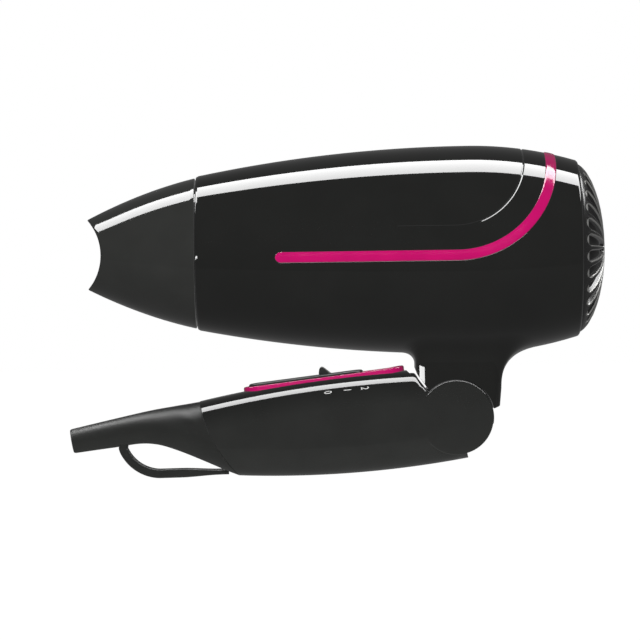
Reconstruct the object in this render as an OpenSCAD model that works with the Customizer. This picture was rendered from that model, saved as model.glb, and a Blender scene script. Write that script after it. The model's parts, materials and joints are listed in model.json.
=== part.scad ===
// Folding travel hair dryer, folded, in millimetres.
// X runs along the barrel from the nozzle to the intake, Z is up, and the
// origin is the centre of the barrel's front rim, where the nozzle seats.

/* [Barrel] */
// Length from the front rim to the rear rim
barrel_len = 152.4; // [140:0.2:190]
// Largest radius of the barrel
barrel_r = 41.5; // [38:0.5:50]
// Radius at the front rim
front_r = 30.7; // [28:0.1:34]
// Radius where the rear edge starts to round
rear_r = 35.4; // [34:0.1:37]
// Distance from the front rim to the widest place
peak_x = 109; // [95:1:120]
// Thickness of the housing's wall
wall = 2; // [1.6:0.1:2.4]
// Radius of the rear opening for the grille
intake_r = 33.6; // [31:0.1:34]

/* [Nozzle] */
// Length of the concentrator in front of the barrel
nozzle_len = 43.6; // [36:0.1:52]
// Height of the mouth, tip to tip
mouth_h = 28; // [22:0.5:34]
// Inside width of the mouth's slot
mouth_w = 16; // [8:0.5:20]
// Radius of the mouth's hollow front edge
mouth_arc_r = 20; // [17:0.5:30]
// Length of the spigot that plugs into the barrel
spigot_len = 6.6; // [5:0.1:8]

/* [Fold hinge] */
// Distance from the hinge to the rear rim, along the barrel
hinge_back = 49.9; // [44:0.1:56]
// Distance from the barrel's underside to the hinge
hinge_drop = 25; // [24:0.5:30]
// Radius of the handle's round cheeks
cheek_r = 14.8; // [12.3:0.1:17.8]
// Outer radius of the hollow bushes that the handle turns on
bush_r = 5; // [4.4:0.1:5.6]
// Degrees that the handle opens
fold_deg = 85; // [80:1:86]

/* [Handle] */
// Width of the handle and of the neck
handle_w = 31; // [29:0.1:37.5]
// Distance from the hinge to the foremost point of the handle's shells
grip_len = 104.4; // [86:0.2:126]
// Length of the sleeve in front of the shells
sleeve_len = 49.2; // [42:0.1:60]
// Radius of the bore for the mains lead
cord_bore_r = 3.3; // [2.8:0.1:3.6]
// Width of the hanging loop's strap
loop_w = 7; // [5:0.5:10]

/* [Switch] */
// Length of the sliding plate
slider_len = 46; // [40:0.5:48]
// Width of the sliding plate
slider_w = 9; // [7:0.5:10]
// Travel from 0 to 2
slider_travel = 13.2; // [9:0.2:14]

/* [Fan and heater] */
// Number of fan blades
blades = 7; // [5:1:9]
// Number of grille slots
slots = 30; // [20:1:34]
// Radius of the motor's can
motor_r = 13.5; // [11:0.1:16.5]
// Radius of the motor's shaft
shaft_r = 1.15; // [1:0.05:1.6]
// Number of heating rings
heater_rings = 9; // [5:1:11]

/* [Hidden] */
$fn = 96;

// Clearances
snug = 0.1;             // between fixed pieces
loose = 0.4;            // between moving pieces
run = 0.05;             // radial, in a bearing
big = 400;              // half-spaces and other cutting solids

// Barrel outline: two arcs that meet at the widest place
front_drop = barrel_r - front_r;
front_arc = (peak_x * peak_x + front_drop * front_drop) / (2 * front_drop);
edge_r = rear_r - intake_r - 0.2;
rear_x = barrel_len - edge_r;
rear_drop = barrel_r - rear_r;
rear_arc = (pow(rear_x - peak_x, 2) + rear_drop * rear_drop) / (2 * rear_drop);
function barrel_at(x) = x < peak_x
    ? barrel_r - front_arc + sqrt(pow(front_arc, 2) - pow(peak_x - x, 2))
    : barrel_r - rear_arc + sqrt(pow(rear_arc, 2) - pow(x - peak_x, 2));
function arc_pts(c, r, a0, a1, n) =
    [for (i = [0:n]) let (a = a0 + (a1 - a0) * i / n) [c[0] + r * cos(a), c[1] + r * sin(a)]];
function steps(x0, x1, n) = [for (i = [0:n]) x0 + (x1 - x0) * i / n];

// Seats inside the barrel
seat_r = front_r - wall - snug;      // bore that takes the nozzle's spigot
seat_len = spigot_len + 0.6;
guard_t = 2;
rib_x = seat_len + guard_t + 0.8;    // rib behind the outlet guard
rib_t = 2;
rear_step = 5.5;                     // depth of the grille's seat
rear_in = barrel_len - rear_step;
mica_r = seat_r - 0.5;               // outside of the mica tube
mica_t = 0.8;

// Fan, motor and duct, placed from the rear
screen_x = rear_in + 0.4;
fan_len = 15;
fan_x = rear_in - 22;
fan_r = intake_r - 2.8;
duct_in = fan_r + 0.6;
duct_t = 1.6;
duct_rear = rear_in - 1;
duct_front = duct_rear - 36;
motor_x1 = fan_x - 5;
motor_len = 30;
end_cap_t = 4;
motor_x0 = motor_x1 - motor_len;
cone_x = duct_front - 20;            // where the duct meets the mica tube
mica_x0 = rib_x + 0.2;
mica_x1 = cone_x - snug;

// Hinge and neck
hx = barrel_len - hinge_back;
hz = -(barrel_r + hinge_drop);
H = [hx, hz];
half_w = handle_w / 2;
neck_x = hx - cheek_r - 1.2;         // front wall of the neck
tongue_r = cheek_r - 1.6;            // disc of the neck between the cheeks
tongue_half = 8.4;
tongue_in = tongue_half - wall;
cheek_in = tongue_half + loose;      // inner face of the cheeks
plate_t = 1.5;
lip_deg = fold_deg - 72;             // end of the neck's rear lip, seen from the hinge
heel_deg = -74;                      // step at the handle's heel
function polar(r, a) = [hx + r * cos(a), hz + r * sin(a)];
front_fillet = 6;
rear_fillet = 15;
under_front = barrel_at(neck_x - front_fillet);
under_rear = barrel_at(hx + 33);

// Handle outline, from the hinge
crown_arc = 475;
crown_c = [hx + 3, hz + 19.1 - crown_arc];
belly_arc = 420;
belly_c = [hx - 67.5, hz - 22.8 + belly_arc];
seam_arc = 58;
seam_c = [hx - grip_len + seam_arc, hz + 18.4];
corner_r = 12.5;                     // rounding along the handle
function crown_z(x) = crown_c[1] + sqrt(pow(crown_arc, 2) - pow(x - crown_c[0], 2));
function belly_z(x) = belly_c[1] - sqrt(pow(belly_arc, 2) - pow(x - belly_c[0], 2));
notch = polar(cheek_r + 0.7, 136.3); // V between the handle's end and its cheek
corner = notch + [-4, 5.1];
foremost = hx - grip_len;

// Sleeve
sleeve_deg = 9.4;
sleeve_tip_r = 4.85;
sleeve_root_r = 6.2;
sleeve_tube = 27.4;
sleeve_root = [foremost - sleeve_len + sleeve_tube * cos(sleeve_deg), crown_z(foremost) - 10.3];
sleeve_tip = [sleeve_root[0] - sleeve_tube * cos(sleeve_deg), sleeve_root[1] - sleeve_tube * sin(sleeve_deg)];
plug_len = 34;
plug_r = cord_bore_r + 1.2;

// Switch plane, tangent to the handle's crown at the thumb fin's rest place
switch_x = hx - 52.5;
switch_deg = asin((crown_c[0] - switch_x) / crown_arc);
switch_z = crown_z(switch_x);
pocket = 2.2;                        // depth of the pocket under the trim
rail = 1.7;
trim_len = slider_len + slider_travel + 2 * rail + 2;
trim_w = slider_w + 2 * rail + 0.8;
stem = [3.2, 3.6];
slider_x = -trim_len / 2 + rail + 0.5 + slider_len / 2;

// ---------------------------------------------------------------- helpers
module along_y(y0, y1) translate([0, y1, 0]) rotate([90, 0, 0]) linear_extrude(y1 - y0) children();
module both_y(h) along_y(-h, h) children();
module turned() rotate([0, 90, 0]) rotate_extrude() children();
module rod_x(r, x0, x1) translate([x0, 0, 0]) rotate([0, 90, 0]) cylinder(r = r, h = x1 - x0);
module rod_y(r, p, y0, y1) translate([p[0], y1, p[1]]) rotate([90, 0, 0]) cylinder(r = r, h = y1 - y0);
module ring_x(r1, r0, x0, x1) difference() {
    rod_x(r1, x0, x1);
    rod_x(r0, x0 - 1, x1 + 1);
}
module ring_y(r1, r0, p, y0, y1) difference() {
    rod_y(r1, p, y0, y1);
    rod_y(r0, p, y0 - 1, y1 + 1);
}
module side(sign) translate([-big / 2, sign > 0 ? 0 : -big, -big / 2]) cube([big, big, big]);
module mirrored() {
    children();
    mirror([0, 1, 0]) children();
}
module around_x(n, offset = 0) for (i = [0:n - 1]) rotate([(i + offset) * 360 / n, 0, 0]) children();
module on_switch() translate([switch_x, 0, switch_z]) rotate([0, -switch_deg, 0]) children();

// Cross-head screw driven from the right side, sunk below the surface, and its room
screw_r = 1.45;
head_r = 2.7;
head_t = 1.8;
boss_r = 3.9;
housing_sink = 1.6;
handle_sink = 2.6;
module screw_room(p, sink) {
    rod_y(screw_r + run, p, 3.4 - half_w, half_w + 1);
    rod_y(head_r + 0.3, p, half_w - sink - head_t, half_w + 1);
}
module screw(p, sink) difference() {
    union() {
        rod_y(screw_r, p, 4 - half_w, half_w - sink - head_t);
        rod_y(head_r, p, half_w - sink - head_t, half_w - sink);
    }
    for (s = [[3.2, 0.7], [0.7, 3.2]]) translate([p[0] - s[0] / 2, half_w - sink - 0.7, p[1] - s[1] / 2])
        cube([s[0], 1, s[1]]);
}

// Lead that follows points, with a ring of eight corners at each
function unit(v) = v / norm(v);
function way(p, i) = unit(p[min(i + 1, len(p) - 1)] - p[max(i - 1, 0)]);
module lead(p, r, up) {
    sides = 8;
    corners = [for (i = [0:len(p) - 1]) let (t = way(p, i), n = unit(cross(t, up)), b = cross(t, n))
        for (k = [0:sides - 1]) p[i] + r * (n * cos(k * 360 / sides) + b * sin(k * 360 / sides))];
    last = (len(p) - 1) * sides;
    polyhedron(corners, concat(
        [[for (k = [0:sides - 1]) k]],
        [[for (k = [0:sides - 1]) last + sides - 1 - k]],
        [for (i = [0:len(p) - 2]) for (k = [0:sides - 1])
            let (a = i * sides + k, b = i * sides + (k + 1) % sides) each [[a, a + sides, b], [b, a + sides, b + sides]]]
    ));
}

// ---------------------------------------------------------------- housing
outer_stations = concat(steps(0, peak_x, 10), [for (i = [1:5]) peak_x + (rear_x - peak_x) * i / 5]);
module skin(offset) turned() polygon(concat(
    [[0, 0]],
    [for (x = outer_stations) [barrel_at(x) + offset, x]],
    [[0, rear_x]]
));
module barrel_solid() turned() polygon(concat(
    [[0, 0]],
    [for (x = outer_stations) [barrel_at(x), x]],
    [for (i = [1:5]) let (a = 90 - 18 * i) [rear_r - edge_r + edge_r * sin(a), rear_x + edge_r * cos(a)]],
    [[0, barrel_len]]
));
module barrel_cavity() turned() polygon(concat(
    [[0, -1], [seat_r, -1], [seat_r, seat_len], [barrel_at(seat_len) - wall, seat_len]],
    [[barrel_at(rib_x) - wall, rib_x], [mica_r + snug, rib_x]],
    [[mica_r + snug, rib_x + rib_t], [barrel_at(rib_x + rib_t) - wall, rib_x + rib_t]],
    [for (x = steps(rib_x + rib_t, rear_in, 20)) if (x > rib_x + rib_t) [barrel_at(x) - wall, x]],
    [[intake_r, rear_in], [intake_r, barrel_len + 1], [0, barrel_len + 1]]
));
module neck_outline() polygon(concat(
    [[neck_x - 12, hz + hinge_drop + 6]],
    arc_pts([neck_x - front_fillet, -under_front - front_fillet], front_fillet, 90, 0, 5),
    [[neck_x, corner[1] + 3.4], corner + [0.45, 0.25], notch + [0.25, 0.45]],
    [H, polar(cheek_r + loose, lip_deg), polar(cheek_r + 3, lip_deg)],
    arc_pts([hx + 33, -under_rear - rear_fillet - 1], rear_fillet, 180, 90, 7),
    [[hx + 38, hz + hinge_drop + 8]]
));
module neck_room() polygon([
    [neck_x - 3, hz + hinge_drop + 9], [neck_x + wall, -under_front - 5], [neck_x + wall, hz + 16],
    [hx, hz + 10], [hx + 16, hz + 12], [hx + 17, hz + 20], [hx + 26, hz + hinge_drop + 9]
]);
boss_at = [[hx - 8, hz + 21.8], [hx + 11.5, hz + 21.8]];
module neck_solid() {
    difference() {
        both_y(half_w) neck_outline();
        rod_y(cheek_r + loose, H, -half_w - 1, half_w + 1);
    }
    both_y(tongue_half) neck_outline();
    rod_y(tongue_r, H, -tongue_half, tongue_half);
}
module neck_cavity() {
    difference() {
        both_y(half_w - wall) neck_room();
        rod_y(cheek_r + loose + wall, H, -half_w, half_w);
    }
    rod_y(tongue_r - wall, H, -tongue_in, tongue_in);
    translate([hx - 6.5, -tongue_in, hz]) cube([13, 2 * tongue_in, hinge_drop - 2]);
    rod_y(bush_r + 0.02, H, -tongue_half - 1, tongue_half + 1);
    both_y(tongue_in) polygon([H, polar(2 * tongue_r, 180), polar(2 * tongue_r, 226), polar(2 * tongue_r, 272)]);
}
// Paths of the trim band and of the shut line above it, seen from the side
band_w = 4.2;
band_arc = 38;
band_c = [peak_x - 6, barrel_r - 5.5];
band_x0 = 31.6;
shut_w = 0.5;
shut_arc = 28;
shut_c = [peak_x - 7, barrel_r - 4];
shut_x0 = 79.4;
module hook_path(x0, c, arc, w) polygon(concat(
    arc_pts([x0 + w, c[1] - arc], w, 270, 90, 6),
    arc_pts(c, arc - w, 270, 360, 12),
    [[c[0] + arc - w, big / 4], [c[0] + arc + w, big / 4]],
    arc_pts(c, arc + w, 360, 270, 12)
));
module skin_zone(r0, r1) intersection() {
    difference() {
        skin(r1);
        skin(r0);
    }
    both_y(big / 4) children();
}
module band_zone(w, r0, r1) skin_zone(r0, r1) hook_path(band_x0, band_c, band_arc, w);
module shut_line() skin_zone(-0.4, 2) hook_path(shut_x0, shut_c, shut_arc, shut_w / 2);
module housing(sign) intersection() {
    difference() {
        union() {
            difference() {
                union() {
                    barrel_solid();
                    neck_solid();
                }
                barrel_cavity();
                neck_cavity();
                band_zone(band_w / 2 + snug, -1.1, 2);
                shut_line();
            }
            for (p = boss_at) rod_y(boss_r, p, -half_w + wall / 2, half_w - wall / 2);
        }
        for (p = boss_at) screw_room(p, housing_sink);
    }
    side(sign);
}
module housing_left() color("#161716") housing(-1);
module housing_right() color("#161716") housing(1);
module trim_band() color("#d6006e") band_zone(band_w / 2, -1, 0.35);
module housing_screws() color("dimgray") for (p = boss_at) screw(p, housing_sink);

// ---------------------------------------------------------------- intake
dome_t = 2;
dome_h = 13;                         // depth and radius of the dome's ellipse
apex_x = barrel_len + 10.4;
rim_r = intake_r - snug;
dome_r = rim_r + 0.9;
slot_r1 = rim_r - 3.4;
slot_r0 = 9;
slot_w = PI * slot_r1 / slots * 1.32;
module grille_slot() rotate([0, 90, 0]) linear_extrude(big) polygon(concat(
    arc_pts([slot_r1, 0], slot_w / 2, -90, 90, 6),
    arc_pts([slot_r0, 0], slot_w / 7, 90, 270, 4)
));
function dome_x(r, t) = apex_x - dome_h + (dome_h - t) * sqrt(1 - pow(r / (dome_r - t), 2));
module intake_grille() color("#2a2b2d") difference() {
    turned() polygon(concat(
        [for (i = [0:12]) let (r = rim_r * sin(7.5 * i)) [r, dome_x(r, 0)]],
        [[rim_r, screen_x + 1], [rim_r - dome_t, screen_x + 1]],
        [for (i = [12:-1:0]) let (r = (rim_r - dome_t) * sin(7.5 * i)) [r, dome_x(r, dome_t)]]
    ));
    around_x(slots) grille_slot();
}
module lint_screen() color("dimgray") {
    ring_x(rim_r, rim_r - 1.8, screen_x, screen_x + 0.9);
    for (r = [6:6:24]) ring_x(r + 0.3, r - 0.3, screen_x + 0.2, screen_x + 0.7);
    around_x(12) translate([screen_x + 0.2, -0.3, 5.8]) cube([0.5, 0.6, rim_r - 6.8]);
    rod_x(5.9, screen_x + 0.2, screen_x + 0.7);
}

// ---------------------------------------------------------------- outlet and heater
module outlet_guard() color("#202020") {
    guard_r = barrel_at(seat_len) - wall - snug;
    ring_x(guard_r, guard_r - 3, seat_len + 0.3, seat_len + 0.3 + guard_t);
    for (r = [8, 15, 22]) ring_x(r + 0.6, r - 0.6, seat_len + 0.3, seat_len + 0.3 + guard_t);
    around_x(6) translate([seat_len + 0.5, -0.6, 8]) cube([guard_t - 0.4, 1.2, guard_r - 9.6]);
}
module mica_tube() color("tan") ring_x(mica_r, mica_r - mica_t, mica_x0, mica_x1);
board_half = mica_r - mica_t - snug;
coil_r = board_half - 4;
board_x0 = mica_x0 + 4;
board_x1 = motor_x0 - end_cap_t - 5;
ring_pitch = (board_x1 - board_x0 - 10) / (heater_rings - 1);
function ring_at(i) = board_x0 + 5 + i * ring_pitch;
module mica_cross() color("tan") difference() {
    union() {
        translate([board_x0, -board_half, -0.4]) cube([board_x1 - board_x0, 2 * board_half, 0.8]);
        translate([board_x0, -0.4, -board_half]) cube([board_x1 - board_x0, 0.8, 2 * board_half]);
    }
    for (i = [0:heater_rings - 1]) ring_x(board_half + 1, coil_r - 1.5, ring_at(i) - 1.7, ring_at(i) + 1.7);
}
module heating_coils() color("#8a7a6a") for (i = [0:heater_rings - 1])
    translate([ring_at(i), 0, 0]) rotate([0, 90, 0]) rotate_extrude() translate([coil_r, 0]) circle(1.3, $fn = 24);
module thermostat() color("silver") translate([board_x0 + 3, 2, 0.5]) {
    cube([9, 6, 2.6]);
    translate([1.5, 1, 2.6]) cube([6, 4, 0.5]);
}
module thermal_fuse() color("ivory") translate([0, -5, 2]) {
    rod_x(1.4, board_x0 + 3, board_x0 + 13);
    rod_x(0.4, board_x0 + 0.5, board_x0 + 15.5);
}

// ---------------------------------------------------------------- fan and motor
flange_r = barrel_at(duct_rear) - wall - 0.15;
module fan_duct() color("#303030") {
    turned() polygon([
        [duct_in, duct_front], [duct_in, duct_rear], [flange_r, duct_rear], [flange_r, duct_rear - 2],
        [duct_in + duct_t, duct_rear - 2], [duct_in + duct_t, duct_front],
        [mica_r + duct_t, cone_x], [mica_r - mica_t, cone_x]
    ]);
    ring_x(motor_r + 1.6, motor_r + snug, motor_x0 + 5, motor_x1 - 2);
    intersection() {
        around_x(5, 0.5) translate([cone_x + 6, -0.7, motor_r + 1.4]) cube([16, 1.4, big / 4]);
        turned() polygon([
            [0, cone_x], [mica_r, cone_x], [duct_in + 0.6, duct_front], [duct_in + 0.6, duct_rear], [0, duct_rear]
        ]);
    }
}
module motor_can() color("silver") difference() {
    rod_x(motor_r, motor_x0, motor_x1);
    rod_x(motor_r - 0.8, motor_x0 - 1, motor_x1 - 0.8);
    rod_x(3.6, motor_x0, motor_x1 + 1);
}
module motor_end_cap() color("white") difference() {
    union() {
        rod_x(motor_r, motor_x0 - end_cap_t, motor_x0 - 0.02);
        rod_x(motor_r - 0.9, motor_x0 - 1, motor_x0 + 2);
    }
    rod_x(3.6, motor_x0 - end_cap_t - 1, motor_x0 + 3);
}
module motor_magnets() color("#333333") difference() {
    ring_x(motor_r - 0.85, motor_r - 2.7, motor_x0 + 5, motor_x1 - 3);
    for (s = [-1, 1]) translate([motor_x0, s * motor_r - (s > 0 ? 3.5 : -3.5) - 5, -2.5]) cube([motor_len, 10, 5]);
}
module motor_bearings() color("goldenrod") {
    ring_x(3.55, shaft_r + run, motor_x1 - 0.8, motor_x1 + 1.2);
    ring_x(3.55, shaft_r + run, motor_x0 - end_cap_t + 0.4, motor_x0 - end_cap_t + 3);
}
module rectifier_board() color("darkgreen") difference() {
    union() {
        rod_x(motor_r - 1, motor_x0 - end_cap_t - 3.6, motor_x0 - end_cap_t - 2);
        for (a = [45:90:315]) rotate([a, 0, 0]) translate([0, 0, 8])
            rod_x(1.3, motor_x0 - end_cap_t - 6.6, motor_x0 - end_cap_t - 3.4);
        for (s = [-1, 1]) translate([motor_x0 - end_cap_t - 2.2, s * 9 - 0.6, -1]) cube([2.2, 1.2, 2]);
    }
    rod_x(3, motor_x0 - end_cap_t - 5, motor_x0 - end_cap_t);
}
hub_r = motor_r - 1.5;
module motor_shaft() color("lightgray") rod_x(shaft_r, motor_x0 - end_cap_t + 0.2, fan_x + fan_len - 3);
module rotor_core() color("#6e6e72") difference() {
    rod_x(motor_r - 3.2, motor_x0 + 7, motor_x1 - 5);
    rod_x(shaft_r + 0.01, motor_x0, motor_x1);
    around_x(5) translate([motor_x0, -0.8, motor_r - 6.5]) cube([motor_len, 1.6, 5]);
    around_x(5) translate([0, 0, motor_r - 7]) rod_x(1.6, motor_x0, motor_x1);
}
module commutator() color("#b87333") difference() {
    rod_x(3.2, motor_x0 + 1.5, motor_x0 + 6.8);
    rod_x(shaft_r + 0.01, motor_x0, motor_x1);
    around_x(3) translate([motor_x0, -0.2, 2.4]) cube([8, 0.4, 2]);
}
module fan() color("#1c1c1c") {
    difference() {
        union() {
            rod_x(hub_r, fan_x, fan_x + fan_len - 2);
            translate([fan_x + fan_len - 2, 0, 0]) rotate([0, 90, 0]) cylinder(r1 = hub_r, r2 = hub_r - 2, h = 2);
        }
        rod_x(hub_r - 1.6, fan_x - 1, fan_x + fan_len - 5);
        rod_x(shaft_r + 0.01, fan_x - 1, fan_x + fan_len - 2.9);
    }
    difference() {
        rod_x(3, fan_x, fan_x + fan_len - 4);
        rod_x(shaft_r + 0.01, fan_x - 1, fan_x + fan_len - 3);
    }
    intersection() {
        around_x(blades) translate([fan_x + fan_len / 2 - 1, 0, hub_r - 0.6]) rotate([0, 0, 38])
            translate([-8.2, -0.6, 0]) cube([16.4, 1.2, big / 10]);
        ring_x(fan_r, hub_r - 0.4, fan_x + 0.6, fan_x + fan_len - 1.4);
    }
}

// ---------------------------------------------------------------- nozzle
nozzle_r = front_r - 0.6;
gap_x = 0.4;                         // parting line in front of the barrel
spigot_r = seat_r - 1;
nozzle_bow = 240;                    // arc of the nozzle's side outline
nozzle_wall = 1.6;
groove_x = spigot_len * 0.5;
half_mouth = mouth_w / 2 + nozzle_wall;
function nozzle_at(x) = let (t = (-x - gap_x) / (nozzle_len - gap_x))
    nozzle_r + (mouth_h / 2 - nozzle_r) * (0.62 * t + 0.38 * t * t);
function flank_at(x) = let (t = (-x - gap_x) / (nozzle_len - gap_x))
    nozzle_r + (half_mouth - nozzle_r) * (0.42 * t + 0.58 * t * t);
module nozzle_form(inset, x0) {
    xs = steps(x0, -nozzle_len, 9);
    intersection() {
        turned() polygon(concat([[0, x0]], [for (x = xs) [nozzle_at(x) - inset, x]], [[0, -nozzle_len]]));
        translate([0, 0, -big / 4]) linear_extrude(big / 2) polygon(concat(
            [for (x = xs) [x, flank_at(x) - inset]],
            [for (i = [0:9]) let (x = xs[9 - i]) [x, inset - flank_at(x)]]
        ));
    }
}
module nozzle() color("#3a3b39") difference() {
    union() {
        nozzle_form(0, -gap_x);
        rod_x(spigot_r, -gap_x - 1, spigot_len);
    }
    nozzle_form(nozzle_wall, -gap_x - nozzle_wall);
    rod_x(spigot_r - nozzle_wall, -gap_x - 2.5, spigot_len + 1);
    rod_y(mouth_arc_r, [-nozzle_len - sqrt(pow(mouth_arc_r, 2) - pow(mouth_h / 2, 2)), 0], -big / 8, big / 8);
    ring_x(spigot_r + 1, spigot_r - 0.8, groove_x - 0.85, groove_x + 0.85);
}
module nozzle_clip() color("silver") difference() {
    ring_x(seat_r - 0.35, spigot_r - 0.4, groove_x - 0.45, groove_x + 0.45);
    translate([0, -2.5, -big / 8]) cube([big / 8, 5, big / 8]);
}

// ---------------------------------------------------------------- hinge
bush_end = cheek_in + plate_t + 0.05;
module hinge_bushes() color("goldenrod") mirrored() {
    ring_y(bush_r, bush_r - 1.6, H, tongue_in - 0.9, bush_end);
    ring_y(bush_r + 1.3, bush_r - 1.6, H, tongue_in - 0.9, tongue_in - 0.02);
}
module hinge_plates() color("#5a5a5a") mirrored() difference() {
    rod_y(cheek_r - wall - snug, H, cheek_in, cheek_in + plate_t);
    rod_y(bush_r + run, H, cheek_in - 1, cheek_in + 3);
    for (a = [70:120:310]) rod_y(0.9, polar(9.4, a), cheek_in - 1, cheek_in + 3);
}
module hinge_washers() color("silver") mirrored()
    ring_y(bush_r + 3.4, bush_r + 0.3, H, tongue_half + 0.06, cheek_in - 0.04);

// ---------------------------------------------------------------- handle
// Rounded bar bent to an arc: its outer edges are rounded, its inner side is flat
module bent_bar(c, r, inset) translate([c[0], 0, c[1]]) rotate([90, 0, 0]) rotate_extrude($fn = 720) {
    k = corner_r - inset;
    polygon(concat(
        [[r - 90, inset - half_w]],
        arc_pts([r - inset - k, inset - half_w + k], k, -90, 0, 5),
        arc_pts([r - inset - k, half_w - inset - k], k, 0, 90, 5),
        [[r - 90, half_w - inset]]
    ));
}
module handle_side(inset, left) polygon(concat(
    arc_pts(seam_c, left, 172, 240, 12),
    [[hx, hz - 40], polar(40, heel_deg - 4 * inset), polar(cheek_r - 0.2, heel_deg - 4 * inset), H],
    [notch + [-inset, -inset], corner + [-inset, -inset], corner + [-1.6 - inset / 2, 4], corner + [-1.6 - inset / 2, 20]]
));
module handle_form(inset, left) intersection() {
    both_y(half_w - inset) handle_side(inset, left);
    bent_bar(crown_c, crown_arc, inset);
    bent_bar(belly_c, belly_arc, inset);
}
module cheeks(r, y0, y1) mirrored() rod_y(r, H, y0, y1);
module switch_pocket() on_switch() {
    translate([0, 0, -pocket]) linear_extrude(20) bar_outline(trim_len + 2 * snug, trim_w + 2 * snug);
    translate([-stem[0] / 2 - 1.2, -stem[1] / 2 - loose, -9])
        cube([stem[0] + slider_travel + 2.4, stem[1] + 2 * loose, 20]);
}
module handle_shell(sign) intersection() {
    difference() {
        union() {
            difference() {
                union() {
                    handle_form(0, seam_arc);
                    cheeks(cheek_r, cheek_in, half_w);
                }
                handle_form(wall, seam_arc + 6);
                cheeks(cheek_r - wall, cheek_in - 1, half_w - wall);
                rod_y(tongue_r + 0.6, H, -cheek_in, cheek_in);
            }
            intersection() {
                for (p = handle_screw_at) rod_y(boss_r, p, -half_w, half_w);
                handle_form(wall / 2, seam_arc);
            }
            intersection() {
                on_switch() translate([-trim_len / 2 - 2, -trim_w / 2 - 2, -pocket - wall])
                    cube([trim_len + 4, trim_w + 4, pocket + wall]);
                handle_form(wall / 2, seam_arc);
            }
        }
        switch_pocket();
        for (p = handle_screw_at) screw_room(p, handle_sink);
    }
    side(sign);
}
module handle_left() color("#2a2b29") handle_shell(-1);
module handle_right() color("#2a2b29") handle_shell(1);
module handle_screws() color("dimgray") for (p = handle_screw_at) screw(p, handle_sink);

// ---------------------------------------------------------------- switch
module bar_outline(l, w) polygon(concat(
    arc_pts([-l / 2 + w / 2, 0], w / 2, 90, 270, 8),
    arc_pts([l / 2 - w / 2, 0], w / 2, -90, 90, 8)
));
trim_h = pocket + 0.6;
tail = 6;                            // length of the trim's raised end
module trim_outline() difference() {
    bar_outline(trim_len, trim_w);
    bar_outline(trim_len - 2 * rail, trim_w - 2 * rail);
}
module switch_trim() color("#d6006e") on_switch() {
    translate([0, 0, snug / 2 - pocket]) linear_extrude(trim_h) trim_outline();
    translate([trim_len / 2 - tail, 0, trim_h - pocket - 0.5]) rotate([0, -12, 0]) linear_extrude(1.4)
        intersection() {
            translate([tail - trim_len / 2, 0]) trim_outline();
            translate([-2, -trim_w]) square([2 * tail, 2 * trim_w]);
        }
}
plate_z = loose - pocket;
plate_top = 1.7;
fin = [3.6, 6, 3];
module slider() color("#333533") on_switch() {
    translate([slider_x, 0, plate_z]) linear_extrude(plate_top - plate_z) bar_outline(slider_len, slider_w);
    translate([0, fin[1] / 2, 0]) rotate([90, 0, 0]) linear_extrude(fin[1]) polygon([
        [-fin[0] / 2, plate_top - 0.5], [-fin[0] / 2 + 0.8, plate_top + fin[2] - 0.6],
        [-0.2, plate_top + fin[2]], [0.8, plate_top + fin[2] - 0.8], [fin[0], plate_top - 0.5]
    ]);
}
block_x0 = -14;
block_len = 42;
block_h = 9;
block_top = -pocket - wall - 0.02;
channel = stem[1] + 2 * loose;
lever_low = block_top - 4;
module switch_lever() color("white") on_switch() translate([-stem[0] / 2, -stem[1] / 2, lever_low])
    cube([stem[0], stem[1], plate_z - lever_low - 0.02]);
module switch_block() color("#101010") on_switch() difference() {
    translate([block_x0, -7, block_top - block_h]) cube([block_len, 14, block_h]);
    translate([-stem[0] / 2 - 1, -channel / 2, lever_low - 0.4])
        cube([stem[0] + slider_travel + 2, channel, block_h]);
}
module switch_terminals() color("goldenrod") on_switch() for (x = [-9, 4, 17]) for (y = [-4, 4])
    translate([x, y - 1, block_top - block_h - 5]) cube([0.8, 2, 4.98]);

// ---------------------------------------------------------------- leads
lead_r = 1.3;
loom_y = half_w - wall - lead_r - 0.15;
module barrel_leads() color("#c8c8c8") lead([
    [hx, bush_end + 0.3, hz], [hx, bush_end - 2, hz], [hx, 5, hz], [hx, 3, hz + 0.6], [hx, 1.6, hz + 2.2],
    [hx, 1, hz + 5], [hx, 1, hz + 12], [hx, 1, hz + 18], [hx - 0.5, 1, hz + 22], [hx - 2.2, 1, hz + 25.6],
    [hx - 5.5, 1, hz + 28.4], [hx - 10, 1, hz + 30], [hx - 15, 1, hz + 30.8], [hx - 21, 1, hz + 31.2]
], lead_r, [0.02, 1, 0.05]);
module handle_leads() color("#c8c8c8") lead([
    [hx - 38, 0, hz - 6], [hx - 32, 1.4, hz - 6], [hx - 26, 5, hz - 5.4], [hx - 21, 9, hz - 4.2],
    [hx - 17, loom_y - 0.6, hz - 2.8], [hx - 13, loom_y, hz - 1.6], [hx - 8, loom_y, hz - 0.5],
    [hx - 4.5, loom_y, hz], [hx - 2.4, loom_y - 0.06, hz]
], lead_r, [0.02, 0.05, 1]);
module filter_capacitor() color("#c8a000") translate([foremost + 27, -6, belly_z(foremost + 33) + 7]) cube([13, 12, 6]);

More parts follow.
